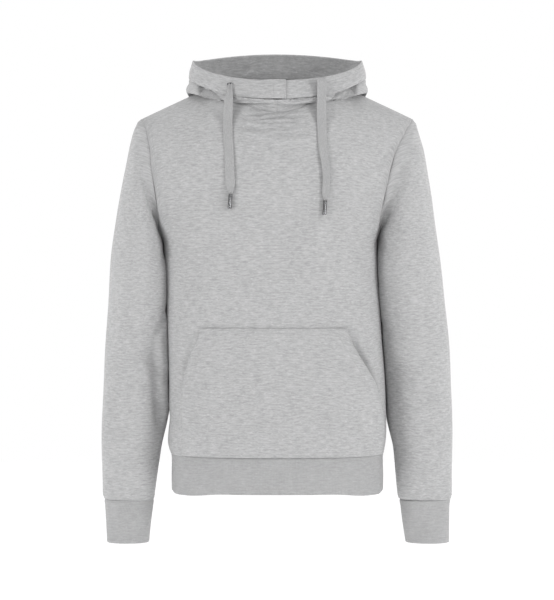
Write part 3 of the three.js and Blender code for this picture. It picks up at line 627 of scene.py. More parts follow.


# Creases, each set one by one

# A crease is a soft trough (depth below 0) or ridge on a piece: a curve through places on it, in the
# piece's own two measures, with a width and depth in millimetres, a lip on one side, and the share
# of its depth that is left at its two ends
Crease = namedtuple("Crease", "path width depth lip ends", defaults=((0, 0),))

CREASE_SAMPLES = 28
FADE_SHARE = 0.35
LIP_PLACE, LIP_WIDTH, END_REACH = 1.7, 1.1, 1.5


def along_curve(path, count):
    """Points on a smooth curve through the places of a path."""
    table = Table("a b", path)
    place = np.linspace(0, table.size - 1, count)
    return np.stack([table.at("a", place), table.at("b", place)], axis=1)


def nearest(measures, place, scale):
    a, b = measures
    return np.unravel_index(np.argmin(((a - place[0]) * scale[0]) ** 2 + ((b - place[1]) * scale[1]) ** 2),
                            a.shape)


def creased(grid, measures, creases, closed=False, scale=(1, 1), seams=None):
    """The grid with its creases pressed in, along its normals. seams fades them at the edges."""
    normals = normals_of(grid, closed)
    moved = np.zeros(grid.shape[:2])
    for crease in creases:
        line = np.array([grid[nearest(measures, p, scale)]
                         for p in along_curve(crease.path, CREASE_SAMPLES)])
        line[1:-1] = (line[:-2] + 2 * line[1:-1] + line[2:]) / 4
        away = grid[:, :, None, :] - line
        squares = (away ** 2).sum(axis=3)
        k = squares.argmin(axis=2)
        tangent = unit(np.gradient(line, axis=0))
        near = np.take_along_axis(away, k[:, :, None, None], axis=2)[:, :, 0]
        across = (near * np.cross(normals, tangent[k])).sum(axis=2)
        distance = np.sqrt(squares.min(axis=2))
        s = k / (CREASE_SAMPLES - 1)
        start, end = crease.ends
        strength = mix(start, 1, smooth(s / FADE_SHARE)) * mix(end, 1, smooth((1 - s) / FADE_SHARE))
        past_end = np.sqrt(np.clip(distance ** 2 - across ** 2, 0, None))
        strength = strength * np.exp(-((past_end / (END_REACH * crease.width)) ** 2))
        trough = np.exp(-((across / crease.width) ** 2))
        lip = np.exp(-(((across / crease.width - LIP_PLACE) / LIP_WIDTH) ** 2))
        moved += crease.depth * strength * (trough - crease.lip * lip)
    if seams is not None:
        moved *= seams
    return grid + normals * moved[..., None]


# Waves of worn cloth: how strong each is, what x, y and z are divided by, and its share of the seed
WAVES = (
    (0.5, 31, math.inf, 57, 1),
    (0.5, -71, math.inf, 43, 2.1),
    (0.3, 47, 29, 23, 3.7),
    (0.2, 17, 19, -21, 5.3),
)


def undulation(grid, amount, seed):
    """A slow unevenness that all worn cloth has, as a distance along the normal."""
    x, y, z = (grid[..., i] for i in range(3))
    return amount * sum(strength * np.sin(x / by_x + y / by_y + z / by_z + share * seed)
                        for strength, by_x, by_y, by_z, share in WAVES)


def inner_grid(outer, thickness, closed=False, level=None):
    """The wall's inner face. level sets the normals of chosen rows or columns."""
    normals = normals_of(outer, closed)
    if level:
        level(normals)
        normals = unit(normals)
    return outer - normals * thickness


def relaxed(grid, share, passes):
    """The grid with its points drawn towards their neighbours, by a share from 0 to 1."""
    for _ in range(passes):
        near = (grid[:-2, 1:-1] + grid[2:, 1:-1] + grid[1:-1, :-2] + grid[1:-1, 2:]) / 4
        grid = grid.copy()
        grid[1:-1, 1:-1] = mix(grid[1:-1, 1:-1], near, share[1:-1, 1:-1, None])
    return grid


def edge_rolled(grid, edges, depth=0.8, width=1.9, closed=False):
    """The grid with some of its edges rolled down into their seams."""
    moved = np.zeros(grid.shape[:2])
    for edge in edges:
        axis = 0 if edge in ("bottom", "top") else 1
        run = run_lengths(grid, axis)
        if edge in ("top", "right"):
            run = (run[-1:] if axis == 0 else run[:, -1:]) - run
        moved = np.minimum(moved, -depth * np.exp(-((run / width) ** 2)))
    return pushed_out(grid, moved, closed)


def edge_fade(shape, rows=(0, 0), columns=(0, 0)):
    """1 inside a grid, falling to 0 over so many rows and columns at its edges."""
    def ramp(count, ends):
        place = np.arange(count)
        value = np.ones(count)
        for distance, width in zip((place, count - 1 - place), ends):
            if width:
                value = value * smooth(distance / width)
        return value
    return ramp(shape[0], rows)[:, None] * ramp(shape[1], columns)[None, :]


# Front and back

PANEL_SIDE_COLUMNS = 38
PANEL_NECK_COLUMNS = 62
HEM_ROWS = (0, 2, 4, 6.5, 9, 12, 15, 18.5, 22)
PANEL_ROW_STEP = 4.2
ARMHOLE_ROWS = 78
ARMPIT_SPREAD, ARMPIT_PASSES = 26, 60
PANEL_SEEDS = {"front": 1.3, "back": 4.1}


def panel_grid(face):
    turn = np.linspace(0, math.pi / 2, PANEL_SIDE_COLUMNS, endpoint=False)
    side = NECK_SHARE + (1 - NECK_SHARE) * np.cos(turn)
    neck = -NECK_SHARE * np.cos(np.linspace(0, math.pi, PANEL_NECK_COLUMNS + 1))
    shares = np.concatenate([-side, neck, side[::-1]])
    if face == "back":
        shares = shares[::-1]
    last = WAIST_SEAM + HEM_ROWS[-1]
    steps = round((ARMPIT - last) / PANEL_ROW_STEP)
    heights = np.concatenate([np.array(HEM_ROWS) + WAIST_SEAM, np.linspace(last, ARMPIT, steps + 1)[1:-1]])
    rise = (1 - np.cos(np.linspace(0, math.pi, ARMHOLE_ROWS + 1))) / 2
    z = np.concatenate([np.repeat(heights[:, None], len(shares), axis=1),
                        mix(ARMPIT, panel_top(face, shares)[None, :], rise[:, None])])
    grid = body_point(face, shares + 0 * z, z)
    grid[..., 1] += SIGN[face] * SEAM / 2
    return grid, shares, len(heights)


PANEL_CREASES = {
    "front": [
        # Wrinkles across the chest under the casing, between the cords
        Crease([(-60, -42), (-34, -41), (-6, -40), (30, -39.5)], 2.6, -3.4, 0.8),
        Crease([(-64, -48), (-38, -49), (-4, -47), (34, -45), (58, -42)], 2.8, -5.0, 0.9),
        Crease([(-48, -55), (-16, -55.5), (20, -53), (52, -51)], 3.2, -5.2, 0.9),
        Crease([(-72, -57), (-58, -62), (-30, -65), (10, -63), (44, -60)], 4.2, -5.4, 0.8),
        Crease([(-30, -73), (6, -75), (42, -72), (60, -67)], 4.6, -4.2, 0.7),
        Crease([(-66, -74), (-44, -82), (-16, -86)], 5.2, -3.6, 0.6),
        Crease([(-24, -94), (14, -96), (50, -91)], 6.5, -2.0, 0.5),
        # Drag lines from the neck's ends towards the armholes
        Crease([(-108, 2), (-128, -32), (-138, -70)], 12, -2.2, 0.4),
        Crease([(112, 0), (136, -36), (148, -78)], 12, -2.4, 0.4),
        # Pulls at the armholes
        Crease([(-199, -118), (-178, -136), (-150, -146)], 10, -2.0, 0.4, ends=(0.8, 0)),
        Crease([(-196, -172), (-172, -184), (-140, -188)], 11, -1.6, 0.4, ends=(0.8, 0)),
        Crease([(188, -98), (170, -118), (140, -130)], 10, -2.3, 0.4, ends=(0.8, 0)),
        Crease([(176, -150), (158, -168), (130, -178)], 11, -1.8, 0.4, ends=(0.8, 0)),
        Crease([(166, -206), (146, -228), (112, -240)], 13, -1.8, 0.4, ends=(0.6, 0)),
        # The cloth sinks beside the pocket's slanted openings
        Crease([(-139, -408), (-148, -440), (-156, -470), (-162, -500)], 3.6, -3.2, 0.3),
        Crease([(122, -402), (135, -435), (148, -461), (161, -490), (169, -520), (175, -552)], 6, -7.0, 0.2,
               ends=(0.4, 0.4)),
        # Slack down the sides and above the pocket
        Crease([(-178, -300), (-150, -330), (-120, -342)], 16, -1.5, 0.4),
        Crease([(166, -300), (138, -322), (104, -334)], 17, -1.6, 0.4),
        Crease([(-120, -366), (-60, -377), (10, -374)], 20, -1.0, 0.3),
        # Blousing above the waistband, outside the pocket
        Crease([(-176, -560), (-168, -588), (-162, -604)], 7, -1.8, 0.5, ends=(0, 0.8)),
        Crease([(181, -566), (178, -588), (176, -606)], 6, -1.6, 0.5, ends=(0, 0.8)),
    ],
    "back": [
        Crease([(-120, -20), (-60, -38), (0, -42), (66, -36), (122, -18)], 14, -2.0, 0.4),
        Crease([(-200, -122), (-172, -142), (-132, -152)], 12, -2.6, 0.45, ends=(0.8, 0)),
        Crease([(-196, -176), (-160, -196), (-112, -202)], 13, -2.2, 0.45, ends=(0.8, 0)),
        Crease([(186, -110), (158, -134), (118, -146)], 12, -2.7, 0.45, ends=(0.8, 0)),
        Crease([(176, -168), (146, -190), (96, -198)], 13, -2.1, 0.45, ends=(0.8, 0)),
        Crease([(-182, -300), (-120, -330), (-40, -338)], 18, -2.0, 0.4),
        Crease([(170, -330), (104, -352), (30, -352)], 19, -2.2, 0.4),
        Crease([(-170, -420), (-96, -438), (-10, -430), (60, -414)], 20, -1.9, 0.4),
        Crease([(174, -470), (110, -486), (20, -484)], 17, -2.0, 0.4),
        Crease([(-160, -520), (-100, -538), (-40, -540)], 14, -1.8, 0.4),
        Crease([(-120, -570), (-112, -590), (-108, -610)], 9, -2.0, 0.5, ends=(0, 0.9)),
        Crease([(-40, -578), (-44, -594), (-42, -610)], 8, -1.7, 0.5, ends=(0, 0.9)),
        Crease([(36, -572), (42, -592), (40, -610)], 9, -1.9, 0.5, ends=(0, 0.9)),
        Crease([(118, -580), (112, -596), (114, -610)], 8, -1.6, 0.5, ends=(0, 0.9)),
    ],
}


def body_panel(face):
    grid, shares, underarm = panel_grid(face)
    armpit = np.exp(-(((grid[..., 2] - ARMPIT) / ARMPIT_SPREAD) ** 2))
    grid = relaxed(grid, 0.9 * armpit * edge_fade(grid.shape, columns=(4, 4)), ARMPIT_PASSES)
    fade = edge_fade(grid.shape, rows=(5, 7), columns=(5, 5))
    shaped = creased(grid, (grid[..., 0], grid[..., 2]), PANEL_CREASES[face], seams=fade)
    shaped = pushed_out(shaped, undulation(grid, 0.7, PANEL_SEEDS[face]) * fade)
    shaped = edge_rolled(shaped, ("bottom", "top", "left", "right"), depth=0.35)

    def square_ends(normals):
        """Where two panels meet, their walls meet square."""
        for i in (0, -1):
            normals[:underarm + 1, i] = (np.sign(grid[0, i, 0]), 0, 0)
        shoulder = np.abs(shares) >= NECK_SHARE - 1e-6
        normals[-1, shoulder, 1] = 0

    return shaped, inner_grid(shaped, JERSEY_WALL, level=square_ends)


# Sleeves and cuffs

SLEEVE_COLUMNS_ROUND = 100
SLEEVE_RADIUS = 58
SLEEVE_GAP, FIRST_GAP, FIRST_RINGS = 1.2, 0.6, 4
SLEEVE_STEP = 4.3
SLEEVE_SAMPLES = 161
SLEEVE_EDGE_ROWS = (1.2, 2.6)
CUFF_ROWS = 25
CUFF_EDGE_ROWS = (0.06, 0.03)
SLEEVE_SEEDS = {"left": 2.2, "right": 0.4}
CUFF_PUFF = 0.5

# The folds that the solids have too: height, angle, slant, length, width, depth
SLEEVE_FOLDS = {
    "left": [(-455, 118, -0.9, 150, 15, 5), (-560, 70, 0.5, 60, 16, 3), (-430, 250, 0.8, 130, 16, 4)],
    "right": [(-210, 112, 0.5, 120, 14, 4), (-500, 100, 0.7, 110, 16, 3.5),
              (-440, 255, -0.8, 130, 16, 4)],
}

# Creases by the angle from the outside towards the front, and the height
SLEEVE_CREASES = {
    "left": [
        Crease([(168, -118), (128, -132), (96, -140)], 7, -2.6, 0.5, ends=(0.7, 0)),
        Crease([(172, -150), (132, -166), (104, -170)], 7, -2.4, 0.5, ends=(0.7, 0)),
        Crease([(176, -184), (138, -204), (112, -206)], 8, -2.0, 0.5, ends=(0.7, 0)),
        Crease([(160, -250), (128, -282), (96, -296)], 11, -2.2, 0.4),
        Crease([(58, -91), (76, -127), (91, -152), (107, -182)], 8, -3.2, 0.1, ends=(0, 0.6)),
        Crease([(170, -340), (138, -372), (112, -420), (118, -470)], 9, -3.0, 0.5),
        Crease([(126, -372), (118, -430), (126, -500), (140, -545), (150, -590)], 10, -7.5, 0.5),
        Crease([(60, -474), (90, -486), (118, -480)], 10, -1.8, 0.4),
        Crease([(30, -556), (66, -572), (104, -566)], 9, -2.0, 0.45),
        Crease([(52, -606), (88, -618), (126, -610)], 8, -1.7, 0.45),
        Crease([(24, -644), (60, -652), (100, -646)], 7, -1.4, 0.45),
        Crease([(70, -664), (84, -676), (92, -690)], 5, -1.4, 0.4, ends=(0, 0.8)),
        Crease([(118, -660), (124, -674), (126, -690)], 5, -1.5, 0.4, ends=(0, 0.8)),
        Crease([(200, -300), (236, -330), (262, -380)], 13, -2.8, 0.45),
        Crease([(210, -420), (248, -452), (286, -456)], 12, -3.0, 0.45),
        Crease([(228, -520), (262, -540), (300, -534)], 11, -2.6, 0.45),
        Crease([(240, -600), (276, -612), (312, -604)], 9, -2.0, 0.45),
        Crease([(250, -660), (258, -676), (262, -690)], 5, -1.5, 0.4, ends=(0, 0.8)),
        Crease([(300, -658), (306, -674), (306, -690)], 5, -1.4, 0.4, ends=(0, 0.8)),
        Crease([(196, -140), (226, -156), (252, -162)], 9, -2.6, 0.5, ends=(0.7, 0)),
        Crease([(192, -186), (222, -210), (250, -216)], 9, -2.4, 0.5, ends=(0.7, 0)),
    ],
    "right": [
        Crease([(58, -91), (76, -127), (91, -152), (107, -182)], 10, -5.0, 0.1, ends=(0, 0.7)),
        Crease([(160, -84), (136, -112), (128, -150), (134, -190)], 9, -4.0, 0.55, ends=(0.6, 0)),
        Crease([(170, -120), (126, -140), (92, -146)], 8, -2.2, 0.5, ends=(0.7, 0)),
        Crease([(172, -176), (130, -196), (96, -200)], 9, -2.2, 0.5, ends=(0.7, 0)),
        Crease([(166, -232), (120, -262), (84, -276)], 12, -2.6, 0.45),
        Crease([(150, -310), (112, -330), (74, -326)], 13, -1.9, 0.4),
        Crease([(160, -380), (122, -402), (86, -398)], 12, -2.0, 0.4),
        Crease([(148, -452), (112, -470), (78, -462)], 11, -2.2, 0.45),
        Crease([(52, -506), (86, -520), (124, -510)], 11, -2.2, 0.45),
        Crease([(130, -556), (98, -572), (62, -564)], 10, -2.0, 0.45),
        Crease([(44, -612), (80, -622), (118, -612)], 9, -1.8, 0.45),
        Crease([(62, -662), (66, -676), (68, -690)], 5, -1.8, 0.45, ends=(0, 0.9)),
        Crease([(88, -664), (90, -678), (92, -690)], 4.5, -1.8, 0.45, ends=(0, 0.9)),
        Crease([(112, -662), (114, -676), (116, -690)], 5, -1.8, 0.45, ends=(0, 0.9)),
        Crease([(196, -330), (236, -352), (270, -398)], 13, -2.9, 0.45),
        Crease([(214, -432), (252, -462), (290, -462)], 12, -2.8, 0.45),
        Crease([(230, -532), (268, -548), (304, -540)], 10, -2.4, 0.45),
        Crease([(250, -664), (256, -678), (258, -690)], 5, -1.5, 0.4, ends=(0, 0.8)),
        Crease([(298, -662), (304, -676), (304, -690)], 5, -1.5, 0.4, ends=(0, 0.8)),
        Crease([(196, -130), (228, -150), (256, -156)], 9, -2.6, 0.5, ends=(0.7, 0)),
        Crease([(192, -190), (224, -214), (252, -220)], 9, -2.4, 0.5, ends=(0.7, 0)),
    ],
}


# Where a sleeve's inner front sinks back beside the torso
SLEEVE_TUCKS = {
    "left": Crease([(107, -180), (127, -212), (147, -244), (150, -300), (152, -362), (158, -420)],
                   21, -10, 0, ends=(0.1, 0.4)),
    "right": Crease([(107, -180), (127, -212), (143, -246), (146, -300), (150, -384), (156, -446),
                     (160, -484)], 28, -16, 0, ends=(0.1, 0.7)),
}


def ring_point(side, angle, outer, outer_z, inner, inner_z, y, deep):
    """A point of a sleeve or cuff. Angle 0 is outside, and the ring runs on to the right."""
    t = (1 + np.cos(angle)) / 2
    return points(SIGN[side] * mix(inner, outer, t), y + SIGN[side] * deep * np.sin(angle),
                  mix(inner_z, outer_z, t))


def armhole_loop(side, angle):
    sign = SIGN[side]
    z = mix(ARMPIT, SHOULDER_TIP, (1 + np.cos(angle)) / 2)
    return points(sign * (half_width(z, sign) + SEAM), sign * ARMHOLE_HALF_DEPTH * np.sin(angle), z)


def clear_of_torso(side, x, y, z, gap):
    """The point moved out to a gap from the torso, where it lies nearer."""
    return points(SIGN[side] * np.maximum(np.abs(x), torso_reach(side, y, z) + gap), y, z)


def sleeve_ring(side, at, angle):
    v = SLEEVES[side].row(at)
    v["inner"] -= np.maximum(0, v.pop("press"))
    sign = SIGN[side]
    oval = ring_point(side, angle, float(half_width(SHOULDER_TIP, sign)), SHOULDER_TIP,
                      float(half_width(ARMPIT, sign)), ARMPIT, 0, ARMHOLE_HALF_DEPTH)
    pull = max(0, 1 - (at + 1) / FIRST_RINGS) ** 2
    p = ring_point(side, angle, **v) + (armhole_loop(side, angle) - oval) * pull
    return clear_of_torso(side, *p.T, mix(FIRST_GAP, SLEEVE_GAP, smooth(at / 2)))


def degrees_forward(side, angle):
    """The angle round a sleeve from the outside towards the front, from 0 to 360."""
    return np.degrees(angle if side == "left" else -angle) % 360


def sleeve_grid(side):
    angle = turns(SLEEVE_COLUMNS_ROUND)
    coarse = np.linspace(0, SLEEVES[side].size - 1, SLEEVE_SAMPLES)
    v = SLEEVES[side].row(coarse)
    middle = points((v["outer"] + v["inner"]) / 2, 0, (v["outer_z"] + v["inner_z"]) / 2)
    outside = points(v["outer"], 0, v["outer_z"])
    run = (line_lengths(middle) + line_lengths(outside)) / 2
    lengths = np.linspace(0, run[-1], round(run[-1] / SLEEVE_STEP) + 1)
    lengths = np.sort(np.append(lengths, [run[-1] - distance for distance in SLEEVE_EDGE_ROWS]))
    stations = np.interp(lengths, run, coarse)[::-1]
    rows = [sleeve_ring(side, at, angle) for at in stations]
    loop = armhole_loop(side, angle)
    rows += [mix(rows[-1], loop, 0.5), loop]
    return np.array(rows), angle


def tucked(side, grid, measures, fade):
    """The sleeve with its inner front drawn back along the torso's side."""
    moved = creased(grid, measures, [SLEEVE_TUCKS[side]], closed=True, seams=fade) - grid
    back = np.linalg.norm(moved, axis=2)
    gap = mix(FIRST_GAP, SLEEVE_GAP, smooth(back / 2))
    return clear_of_torso(side, grid[..., 0], grid[..., 1] + back, grid[..., 2], gap)


def sleeve(side):
    grid, angle = sleeve_grid(side)
    z = grid[..., 2]
    degrees = degrees_forward(side, angle) + 0 * z
    fade = edge_fade(grid.shape, rows=(3, 3))
    folded = np.zeros(z.shape)
    for height, where, slant, length, width, depth in SLEEVE_FOLDS[side]:
        around = np.radians(degrees - where) * SLEEVE_RADIUS
        size = math.hypot(1, slant)
        run = (z - height + slant * around) / size
        across = (around - slant * (z - height)) / size
        folded += depth * (1 - smooth(np.abs(run) / (0.5 * length))) * np.exp(-((across / width) ** 2))
    grid = pushed_out(grid, -folded * edge_fade(grid.shape, rows=(0, 2)), True)
    grid = tucked(side, grid, (degrees, z), fade)
    shaped = creased(grid, (degrees, z), SLEEVE_CREASES[side], closed=True, seams=fade)
    shaped = pushed_out(shaped, undulation(grid, 0.9, SLEEVE_SEEDS[side]) * fade, True)
    shaped = edge_rolled(shaped, ("bottom",), closed=True)
    return shaped, inner_grid(shaped, JERSEY_WALL, closed=True)


def cuff(side):
    table = CUFFS[side]
    last = table.size - 1
    rows = []
    for at in (*np.linspace(0, last, CUFF_ROWS), *(last - share for share in CUFF_EDGE_ROWS)):
        v = table.row(at)
        v["outer_z"] = v["inner_z"] = v.pop("z")
        rows.append(ring_point(side, turns(SLEEVE_COLUMNS_ROUND), **v))
    grid = np.array(sorted(rows, key=lambda row: row[0, 2]))
    along = np.linspace(0, 1, len(rows))[:, None]
    waves = undulation(grid, 0.45, 6.0) * edge_fade(grid.shape, rows=(0, 3))
    grid = pushed_out(grid, CUFF_PUFF * np.sin(math.pi * along) + waves, True)
    grid = edge_rolled(grid, ("top",), closed=True)
    return grid, inner_grid(grid, RIB_WALL, closed=True)


# Waistband

WAISTBAND_ROWS = 22
CORNER_DROP = 4.5


def waistband(front_row, back_row):
    """Hangs from the body's lowest rows, drawn in a little under the seam."""
    seam = np.concatenate([front_row[:-1], back_row[:-1]])
    for i in (0, len(front_row) - 1):
        seam[i, 1] = 0
    place = np.linspace(0, WAISTBAND.size - 1, WAISTBAND_ROWS)
    z, scale = WAISTBAND.at("z", place), WAISTBAND.at("scale", place)
    grid = np.array([points(seam[:, 0] * s, seam[:, 1] * s, height) for height, s in zip(z, scale)])
    grid = pushed_out(grid, undulation(grid, 0.5, 3.3) * edge_fade(grid.shape, rows=(0, 3)), True)
    grid[..., 2] = np.repeat(z[:, None], grid.shape[1], axis=1)
    f = np.abs(seam[:, 0]) / half_width(WAIST_SEAM, seam[:, 0])
    corners = np.where(seam[:, 1] < 0, smooth((f - 0.5) / 0.35) * (1 - smooth((f - 0.95) / 0.05)), 0)
    grid[..., 2] -= CORNER_DROP * corners * smooth((WAIST_SEAM - z) / (WAIST_SEAM - HEM))[:, None]
    return grid, inner_grid(grid, RIB_WALL, closed=True)


# Hood and casing

HOOD_COLUMNS_HALF = 76
HOOD_ROWS = 118
HOOD_SAMPLES = 401
HOOD_EDGE_ROWS = (1, 2.2)
MEASURED_ANGLES = (180, 140, 90)
CLEAR_BLEND = 9
CLEAR_SOFTNESS = 3
EASE_HEIGHT = 15


def soft_largest(a, b):
    return (a + b + np.sqrt((a - b) ** 2 + CLEAR_SOFTNESS ** 2)) / 2


def hood_point(at, angle):
    """A point of the hood. The angle runs from the front over the right to the back."""
    c = np.cos(angle)
    v = HOOD.row(at)
    x = v["half"] * np.sin(angle)
    ahead = c > 0
    y = np.where(ahead, v["front"], v["back"]) * np.abs(c) ** HOOD_ROUNDNESS
    z = np.where(ahead, mix(v["z_side"], v["z_front"], np.abs(c) ** v["bend"]),
                 mix(v["z_side"], v["z_back"], np.abs(c) ** v["fall"]))
    share = x / half_width(np.maximum(z, ARMPIT), x)
    for face, chosen, clear in (("front", ahead, "fore"), ("back", ~ahead, "rear")):
        sign = SIGN[face]
        limit = sign * body_point(face, share, z)[..., 1] + v[clear]
        under = smooth((panel_top(face, share) - z) / CLEAR_BLEND)
        pushed = sign * soft_largest(sign * y, limit)
        y = np.where(chosen, mix(y, pushed, under), y)
    return points(x, y, z)


def neck_seam(angle):
    """The neck seam at an angle, one seam's width past the panels' edges."""
    share = NECK_SHARE * np.sin(angle)
    seam = np.zeros((*np.shape(angle), 3))
    for face, chosen in (("front", np.cos(angle) >= 0), ("back", np.cos(angle) < 0)):
        top = panel_top(face, share)
        edge = body_point(face, share, top)
        edge = edge + unit(edge - body_point(face, share, top - 2)) * SEAM
        edge[..., 1] += SIGN[face] * SEAM / 2 * np.abs(np.cos(angle))
        seam = np.where(chosen[..., None], edge, seam)
    return seam


# Creases by the angle from the front, in degrees, and the place between the table's rows
HOOD_CREASES = {
    "right": [
        Crease([(0, 3.4), (10, 3.6), (20, 4.6)], 2.2, -2.6, 0.8, ends=(1, 0)),
        Crease([(0, 0.7), (14, 0.9), (24, 1.8)], 2.2, -2.2, 0.8, ends=(1, 0)),
        Crease([(6, 7.4), (16, 7.2), (30, 7.0)], 2.2, -2.0, 0.7),
        Crease([(20, 9.4), (36, 8.7), (52, 8.4)], 4.5, -1.7, 0.5),
        Crease([(34, 9.6), (43, 9.0), (47, 7.6)], 4.5, -2.6, 0.6, ends=(0.8, 0.2)),
        Crease([(72, 9.6), (86, 8.8), (104, 8.4)], 6, -1.8, 0.5),
        Crease([(118, 9.4), (136, 8.6), (158, 8.5)], 12, -2.6, 0.5),
        Crease([(112, 8.6), (132, 8.0), (152, 7.8)], 11, -2.8, 0.5),
        Crease([(146, 9.6), (160, 9.0), (172, 8.1)], 12, -3.0, 0.5),
        Crease([(126, 7.2), (146, 6.8), (168, 6.9)], 10, -2.6, 0.5),
        Crease([(110, 2.2), (134, 3.0), (160, 3.1)], 9, -1.8, 0.4),
    ],
    "left": [
        Crease([(360, 3.4), (348, 4.2), (334, 5.4)], 2.2, -2.6, 0.8, ends=(1, 0)),
        Crease([(360, 0.7), (346, 1.2), (332, 2.6)], 2.2, -2.3, 0.8, ends=(1, 0)),
        Crease([(352, 7.2), (342, 6.6), (330, 6.4)], 2.2, -2.4, 0.7),
        Crease([(340, 9.4), (324, 8.8), (308, 8.5)], 4.5, -1.9, 0.5),
        Crease([(288, 9.6), (272, 8.9), (254, 8.4)], 6, -1.8, 0.5),
        Crease([(244, 9.3), (224, 8.6), (204, 8.6)], 12, -2.8, 0.5),
        Crease([(250, 8.4), (230, 7.9), (210, 7.9)], 11, -2.4, 0.5),
        Crease([(212, 9.6), (198, 9.1), (188, 8.2)], 12, -2.8, 0.5),
        Crease([(236, 7.1), (216, 6.8), (194, 7.0)], 10, -2.5, 0.5),
        Crease([(250, 2.3), (226, 3.0), (200, 3.2)], 9, -1.8, 0.4),
    ],
}
HOOD_SCALE = (2.6, 42)


def hood_stations():
    """Places between the table's rows, spaced by how long the cloth is at the back and sides."""
    coarse = np.linspace(0, CASING_ROW, HOOD_SAMPLES)
    run = np.mean([line_lengths(hood_point(coarse, np.full(HOOD_SAMPLES, math.radians(a))))
                   for a in MEASURED_ANGLES], axis=0)
    lengths = np.linspace(0, run[-1], HOOD_ROWS)
    lengths = np.sort(np.append(lengths, [run[-1] - distance for distance in HOOD_EDGE_ROWS]))
    return np.interp(lengths, run, coarse)


def casing_seam_directions(angles):
    """Outward normals and the way up the cloth at the casing's seam."""
    step = 0.02
    up = hood_point(CASING_ROW + step, angles) - hood_point(CASING_ROW - step, angles)
    along = hood_point(CASING_ROW, angles + step) - hood_point(CASING_ROW, angles - step)
    return unit(np.cross(along, up)), unit(up)


def eased_off_neck(grid, angles):
    """The hood's front with its step off the neck seam eased out over its height."""
    x, y, z = (grid[..., i] for i in range(3))
    under = body_point("front", x / half_width(np.maximum(z, ARMPIT), x), z)[..., 1]
    kept = smooth((z - grid[0, :, 2] + 1) / EASE_HEIGHT)
    eased = mix(y, mix(under, y, kept), smooth((np.cos(angles) - 0.45) / 0.3)[None, :])
    return points(x, np.where(y < under, eased, y), z)


def hood_half(side):
    start = 0 if side == "right" else math.pi
    angles = np.linspace(start, start + math.pi, HOOD_COLUMNS_HALF + 1)
    stations = hood_stations()
    seam = neck_seam(angles)
    rows = [hood_point(at, angles) for at in stations]
    grid = np.array([seam, mix(seam, rows[0], 0.5), *rows])
    at = np.concatenate([[-0.5, -0.25], stations])
    apart = SIGN[side] * SEAM / 2
    grid[:, (0, -1), 0] = apart
    grid = eased_off_neck(grid, angles)
    fade = edge_fade(grid.shape, rows=(6, 5), columns=(3, 3))
    measures = np.meshgrid(np.degrees(angles), at)
    shaped = creased(grid, measures, HOOD_CREASES[side], scale=HOOD_SCALE, seams=fade)
    behind = smooth((-np.cos(angles) + 0.2) / 0.6)
    shaped = pushed_out(shaped, undulation(grid, 0.9, 5.2) * fade * mix(0.25, 1, behind))
    shaped = edge_rolled(shaped, ("top", "left", "right"))
    shaped = edge_rolled(shaped, ("bottom",), depth=0.35)
    shaped[:, (0, -1), 0] = apart

    def meet(normals):
        """The wall meets the casing's and, down the middle, the other half's."""
        normals[-1] = casing_seam_directions(angles)[0]
        normals[:, (0, -1), 0] = 0

    return shaped, inner_grid(shaped, JERSEY_WALL, level=meet)


CASING_COLUMN_STEP = 2.1
CASING_ROWS, CASING_LAP_COLUMNS = 19, 18
CASING_EDGE_ROWS = (0.06, 0.13)
CASING_PUFF, CASING_PUCKER = 0.9, 0.28
BLUNT_WIDTH, BLUNT_PASSES = 9, 6

CASING_CREASES = [
    # Inside the back
    Crease([(206, 10.7), (201, 11.1), (197, 11.6)], 5, 2.2, 0.5),
    Crease([(160, 10.5), (152, 10.9), (143, 11.0)], 6, 1.6, 0.4),
    # The front, beside the eyelets and at the lap
    Crease([(38, 10.1), (33, 10.5), (30, 11.2)], 5, -1.4, 0.5, ends=(0.9, 0)),
    Crease([(318, 10.3), (326, 10.6), (334, 10.5)], 5, -1.2, 0.5),
    Crease([(312, 11.8), (318, 12.2), (324, 12.6)], 5, -0.9, 0.4),
    Crease([(52, 11.0), (60, 11.4), (70, 11.5)], 7, -1.0, 0.4),
    Crease([(286, 11.0), (296, 11.5), (306, 11.6)], 7, -1.1, 0.4),
    Crease([(96, 10.8), (110, 11.4), (124, 11.6)], 8, -1.3, 0.4),
    Crease([(240, 11.0), (250, 11.4), (262, 11.4)], 8, -1.3, 0.4),
]


def blunted(grid, degrees):
    """The casing with the corners of its rim, at the two sides, worn round."""
    side = sum(np.exp(-(((degrees - middle) / BLUNT_WIDTH) ** 2)) for middle in (90, 270))
    high = smooth((np.arange(len(grid)) / (len(grid) - 1) - 0.45) / 0.4)
    share = high[:, None] * side[None, :]
    for _ in range(BLUNT_PASSES):
        near = (np.roll(grid, 1, 1) + np.roll(grid, -1, 1)) / 2
        grid = mix(grid, near, share[..., None])
    return grid


